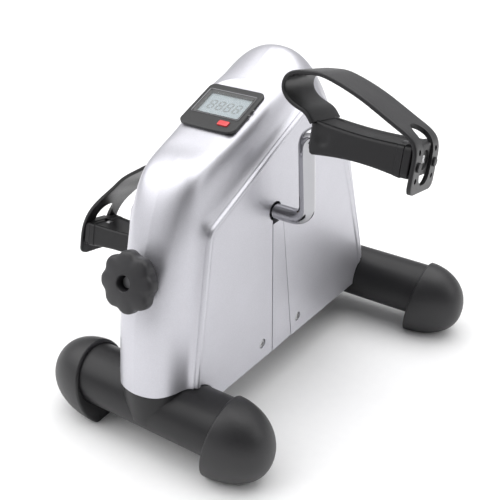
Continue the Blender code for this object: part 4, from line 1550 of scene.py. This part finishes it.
    def letter(self, place: Placement) -> None:
        """The side letter, R or L, standing 0.5 mm proud in the recess of the end cap.

        Args:
            place: The pedal's frame.
        """
        curve = bpy.data.curves.new("side_letter", "FONT")
        curve.body = self.side.name[0]
        curve.size = 7.6
        curve.align_x, curve.align_y = "CENTER", "CENTER"
        curve.extrude = 0.3
        curve.offset = 0.12
        flat = bpy.data.objects.new("side_letter", curve)
        bpy.context.scene.collection.objects.link(flat)
        bpy.context.view_layer.update()
        mesh = bpy.data.meshes.new_from_object(
            flat.evaluated_get(bpy.context.evaluated_depsgraph_get())
        )
        bpy.data.objects.remove(flat, do_unlink=True)
        spots = np.empty(len(mesh.vertices) * 3, np.float32)
        mesh.vertices.foreach_get("co", spots)
        spots = spots.reshape(-1, 3)
        facing = self.side.value
        moved = place.at(spots[:, 0] * facing, spots[:, 1] - 1.4, 157.25 + spots[:, 2])
        moved = (moved + np.array([0.0, SHIFT_Y, 0.0])) * MM
        mesh.vertices.foreach_set("co", moved.astype(np.float32).ravel())
        edit = bmesh.new()
        edit.from_mesh(mesh)
        bmesh.ops.remove_doubles(edit, verts=edit.verts, dist=1e-6)
        bmesh.ops.recalc_face_normals(edit, faces=edit.faces)
        edit.to_mesh(mesh)
        edit.free()
        piece = bpy.data.objects.new(f"side_letter_{self.side.word}", mesh)
        bpy.context.scene.collection.objects.link(piece)
        hang(piece, self.finishes["mark_white"], f"pedal_{self.side.word}")

    def strap(self) -> None:
        """The rubber strap: a flat band with round edges carried along a path that bends in
        one plane; each section stands square to the path. The outer end is forked round the
        end cap, with adjusting holes in both legs.
        """
        place = self.place()
        path = soften(flowing(np.array(self.paths[self.side], float), 230), 20)
        step = np.gradient(path, axis=0)
        step /= np.linalg.norm(step, axis=1)[:, None]
        normal = np.stack([step[:, 1], -step[:, 0]], axis=1)
        v, u = ring_outline(self.strap_half, self.strap_thick / 2, 1.1, 5, 14)
        length = np.concatenate([[0], np.cumsum(np.linalg.norm(np.diff(path, axis=0), axis=1))])
        left = length[-1] - length
        corner = 6.0 - np.sqrt(np.clip(36.0 - np.clip(6.0 - left, 0, None) ** 2, 0, None))
        v = v[None] * (1 - corner / self.strap_half)[:, None]
        out = path[:, None, 0] + u[None] * normal[:, None, 0]
        up = path[:, None, 1] + u[None] * normal[:, None, 1]
        piece = Patchwork().tube(place.at(v, up, out)).build(
            f"foot_strap_{self.side.word}", crease=36.0
        )
        cutters = []
        a, b = ring_outline(9.6, 20.0, 8.0, 10, 4)
        cutters.append(prism("fork", np.stack([a, b + 1.8], axis=1), place, 150.6, 170.0))
        a, h = ring_outline(9.8, 14.0, 9.7, 12, 4)
        upright = Placement(place.origin, place.along_a, place.along_h, place.along_b)
        cutters.append(prism("mouth", np.stack([a, h + 158.6], axis=1), upright, 4.0, 34.0))
        for at in (-self.peg_a, self.peg_a):
            for height in (-13.6, self.peg_b, 5.2):
                radius = 2.9 if height == self.peg_b else 1.9
                cutters.append(turned("hole", [(radius, 150.8), (radius, 170)], place, 28,
                                      (at, height)))
        for cutter in cutters:
            carve(piece, [cutter], 36.0)
        hang(piece, self.finishes["strap_rubber"], f"pedal_{self.side.word}",
             (f"strap_{self.side.word}",))

    def build(self) -> None:
        """Builds the unit's pieces."""
        self.body()
        self.end_cap()
        self.strap()


# ---- carried-over parts, studio ------------------------------------------------------------------
@dataclass
class InnerParts:
    """The CAD parts that stay as they are and only get their finish."""

    finishes: Finishes
    looks: dict[str, tuple[str, ...]] = field(default_factory=lambda: {
        "silver": ("slot_cover_left", "slot_cover_right"),
        "black_enamel": ("base_rail",),
        "steel": ("bearing_plate_left", "bearing_plate_right", "plate_bolt_front",
                  "plate_bolt_rear", "brake_band", "band_anchor_pin", "tension_block",
                  "tension_guide", "drum_set_screw", "pickup_magnet", "spindle_clip_left",
                  "spindle_clip_right", "button_cell"),
        # the tension screw gets the darkened steel, painted shade for the knob's centre hole
        "dark_steel": ("tension_screw",),
        "cast_iron": ("brake_drum",),
        "bronze": ("bearing_bush_left", "bearing_bush_right"),
        "felt_pad": ("felt_lining",),
        "board_green": ("circuit_board",),
        "console_plastic": ("console_case", "reed_sensor"),
        "clear": ("console_lens",),
    })

    def dress(self, nodes: dict[str, bpy.types.Object]) -> None:
        """Puts each finish on its CAD nodes.

        Args:
            nodes: The frame's CAD objects by name.
        """
        for look, names in self.looks.items():
            for name in names:
                node = nodes[name]
                if not node.material_slots:
                    node.data.materials.append(self.finishes[look])
                for place in node.material_slots:
                    place.material = self.finishes[look]
                LOG.info("dressed %s as %s", name, look)


@dataclass
class Studio:
    """Floor, sky, soft lamps and the camera."""

    finishes: Finishes
    eye: tuple[float, float, float] = (319.8, -497.1, 456.8)
    look: tuple[float, float, float] = (0.46518, -0.72690, 0.50520)
    lens: float = 57.01

    def floor(self) -> None:
        """A wide flat grid of paper under the machine, with a gentle rise far behind it."""
        reach = np.linspace(-5000.0, 5000.0, 41)
        y, x = np.meshgrid(reach, reach, indexing="ij")
        far = np.clip(np.hypot(x, y) - 3000.0, 0.0, None)
        z = -0.05 + far**2 / 9000.0
        sheet = Patchwork()
        sheet.sheet(np.stack([x, y, z], axis=-1))
        paper = sheet.build("paper_floor", crease=60.0)
        if paper.data.polygons[0].normal.z < 0:
            paper.data.flip_normals()
        paper.data.materials.append(self.finishes["paper"])

    def lamp(
        self, name: str, at: tuple[float, float, float], size: float, power: float,
    ) -> None:
        """A square soft lamp aimed at the middle of the machine.

        Args:
            name: The lamp's name.
            at: Its place in metres.
            size: Its edge in metres.
            power: Its power in watts.
        """
        light = bpy.data.lights.new(name, "AREA")
        light.shape = "SQUARE"
        light.size = size
        light.energy = power
        lamp = bpy.data.objects.new(name, light)
        bpy.context.scene.collection.objects.link(lamp)
        spot = np.array(at)
        back = spot - np.array([0.0, 0.0, 0.14])
        lamp.matrix_world = self.facing(spot, back / np.linalg.norm(back))

    @staticmethod
    def facing(at: np.ndarray, back: np.ndarray) -> mathutils.Matrix:
        """A matrix at a point whose -Z looks along -back, with its Y upward.

        Args:
            at: The point, in metres.
            back: The unit direction from what it looks at to the point.

        Returns:
            The matrix.
        """
        right = np.cross([0.0, 0.0, 1.0], back)
        right /= np.linalg.norm(right)
        up = np.cross(back, right)
        matrix = np.eye(4)
        matrix[:3, 0], matrix[:3, 1], matrix[:3, 2], matrix[:3, 3] = right, up, back, at
        return mathutils.Matrix(matrix.tolist())

    def sky(self) -> None:
        """A soft white surround, a little darker low down so that gloss has contrast."""
        world = bpy.data.worlds.new("studio_surround")
        world.use_nodes = True
        tree = world.node_tree
        tree.nodes.clear()
        nodes, links = tree.nodes, tree.links
        spots = nodes.new("ShaderNodeTexCoord")
        spots.label, spots.location = "Direction", (-900, 0)
        split = nodes.new("ShaderNodeSeparateXYZ")
        split.label, split.location = "Height in the surround", (-700, 0)
        behind = nodes.new("ShaderNodeVectorMath")
        behind.label, behind.location = "Towards the dark end of the room", (-700, -220)
        dim = nodes.new("ShaderNodeMapRange")
        dim.label, dim.location = "How dark that end is", (-500, -260)
        both = nodes.new("ShaderNodeMix")
        both.label, both.location = "Height tone times dark end", (-200, -160)
        ramp = nodes.new("ShaderNodeValToRGB")
        ramp.label, ramp.location = "Tone by height", (-500, 0)
        glow = nodes.new("ShaderNodeBackground")
        glow.label, glow.location = "Surround", (0, 0)
        out = nodes.new("ShaderNodeOutputWorld")
        out.label, out.location = "World", (200, 0)
        behind.operation = "DOT_PRODUCT"
        behind.inputs[1].default_value = (0.62, -0.76, 0.2)
        dim.interpolation_type = "SMOOTHSTEP"
        dim.inputs["From Min"].default_value = 0.45
        dim.inputs["From Max"].default_value = 0.92
        dim.inputs["To Min"].default_value = 1.0
        dim.inputs["To Max"].default_value = 0.05
        both.data_type, both.blend_type = "RGBA", "MULTIPLY"
        both.inputs["Factor"].default_value = 1.0
        ramp.color_ramp.elements[0].position = 0.0
        ramp.color_ramp.elements[0].color = (0.42, 0.42, 0.44, 1.0)
        ramp.color_ramp.elements[1].position = 0.75
        ramp.color_ramp.elements[1].color = (1.0, 1.0, 1.0, 1.0)
        glow.inputs["Strength"].default_value = 0.85
        links.new(spots.outputs["Generated"], split.inputs["Vector"])
        links.new(split.outputs["Z"], ramp.inputs["Fac"])
        links.new(spots.outputs["Generated"], behind.inputs[0])
        links.new(behind.outputs["Value"], dim.inputs["Value"])
        links.new(ramp.outputs["Color"], both.inputs["A"])
        links.new(dim.outputs["Result"], both.inputs["B"])
        links.new(both.outputs["Result"], glow.inputs["Color"])
        links.new(glow.outputs["Background"], out.inputs["Surface"])
        bpy.context.scene.world = world

    def build(self) -> None:
        """Sets up the studio."""
        self.floor()
        self.sky()
        self.lamp("key_lamp", (-1.2, -0.8, 1.5), 1.9, 24.0)
        self.lamp("fill_lamp", (1.8, 0.5, 1.0), 1.2, 5.5)
        self.lamp("top_lamp", (0.1, 0.5, 1.9), 2.2, 29.0)
        camera = bpy.data.cameras.new("studio_camera")
        camera.lens = self.lens
        camera.sensor_width = 36.0
        camera.clip_end = 50.0
        holder = bpy.data.objects.new("studio_camera", camera)
        bpy.context.scene.collection.objects.link(holder)
        at = (np.array(self.eye) + np.array([0.0, SHIFT_Y, 0.0])) * MM
        back = np.array(self.look) / np.linalg.norm(self.look)
        holder.matrix_world = self.facing(at, back)
        bpy.context.scene.camera = holder
        bpy.context.scene.view_settings.view_transform = "Standard"
        LOG.info("studio ready")


def main() -> None:
    """Builds every sub-assembly in order."""
    for thing in list(bpy.data.objects):
        bpy.data.objects.remove(thing, do_unlink=True)
    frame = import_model()
    finishes = Finishes()
    finishes.prepare()
    FloorFrame(finishes).build()
    Housing(finishes).build()
    Crank(finishes).build()
    TensionKnob(finishes).build()
    Console(finishes).build()
    for side in Side:
        PedalUnit(finishes, side).build()
    InnerParts(finishes).dress(frame["nodes"])
    Studio(finishes).build()


if __name__ == "__main__":
    main()
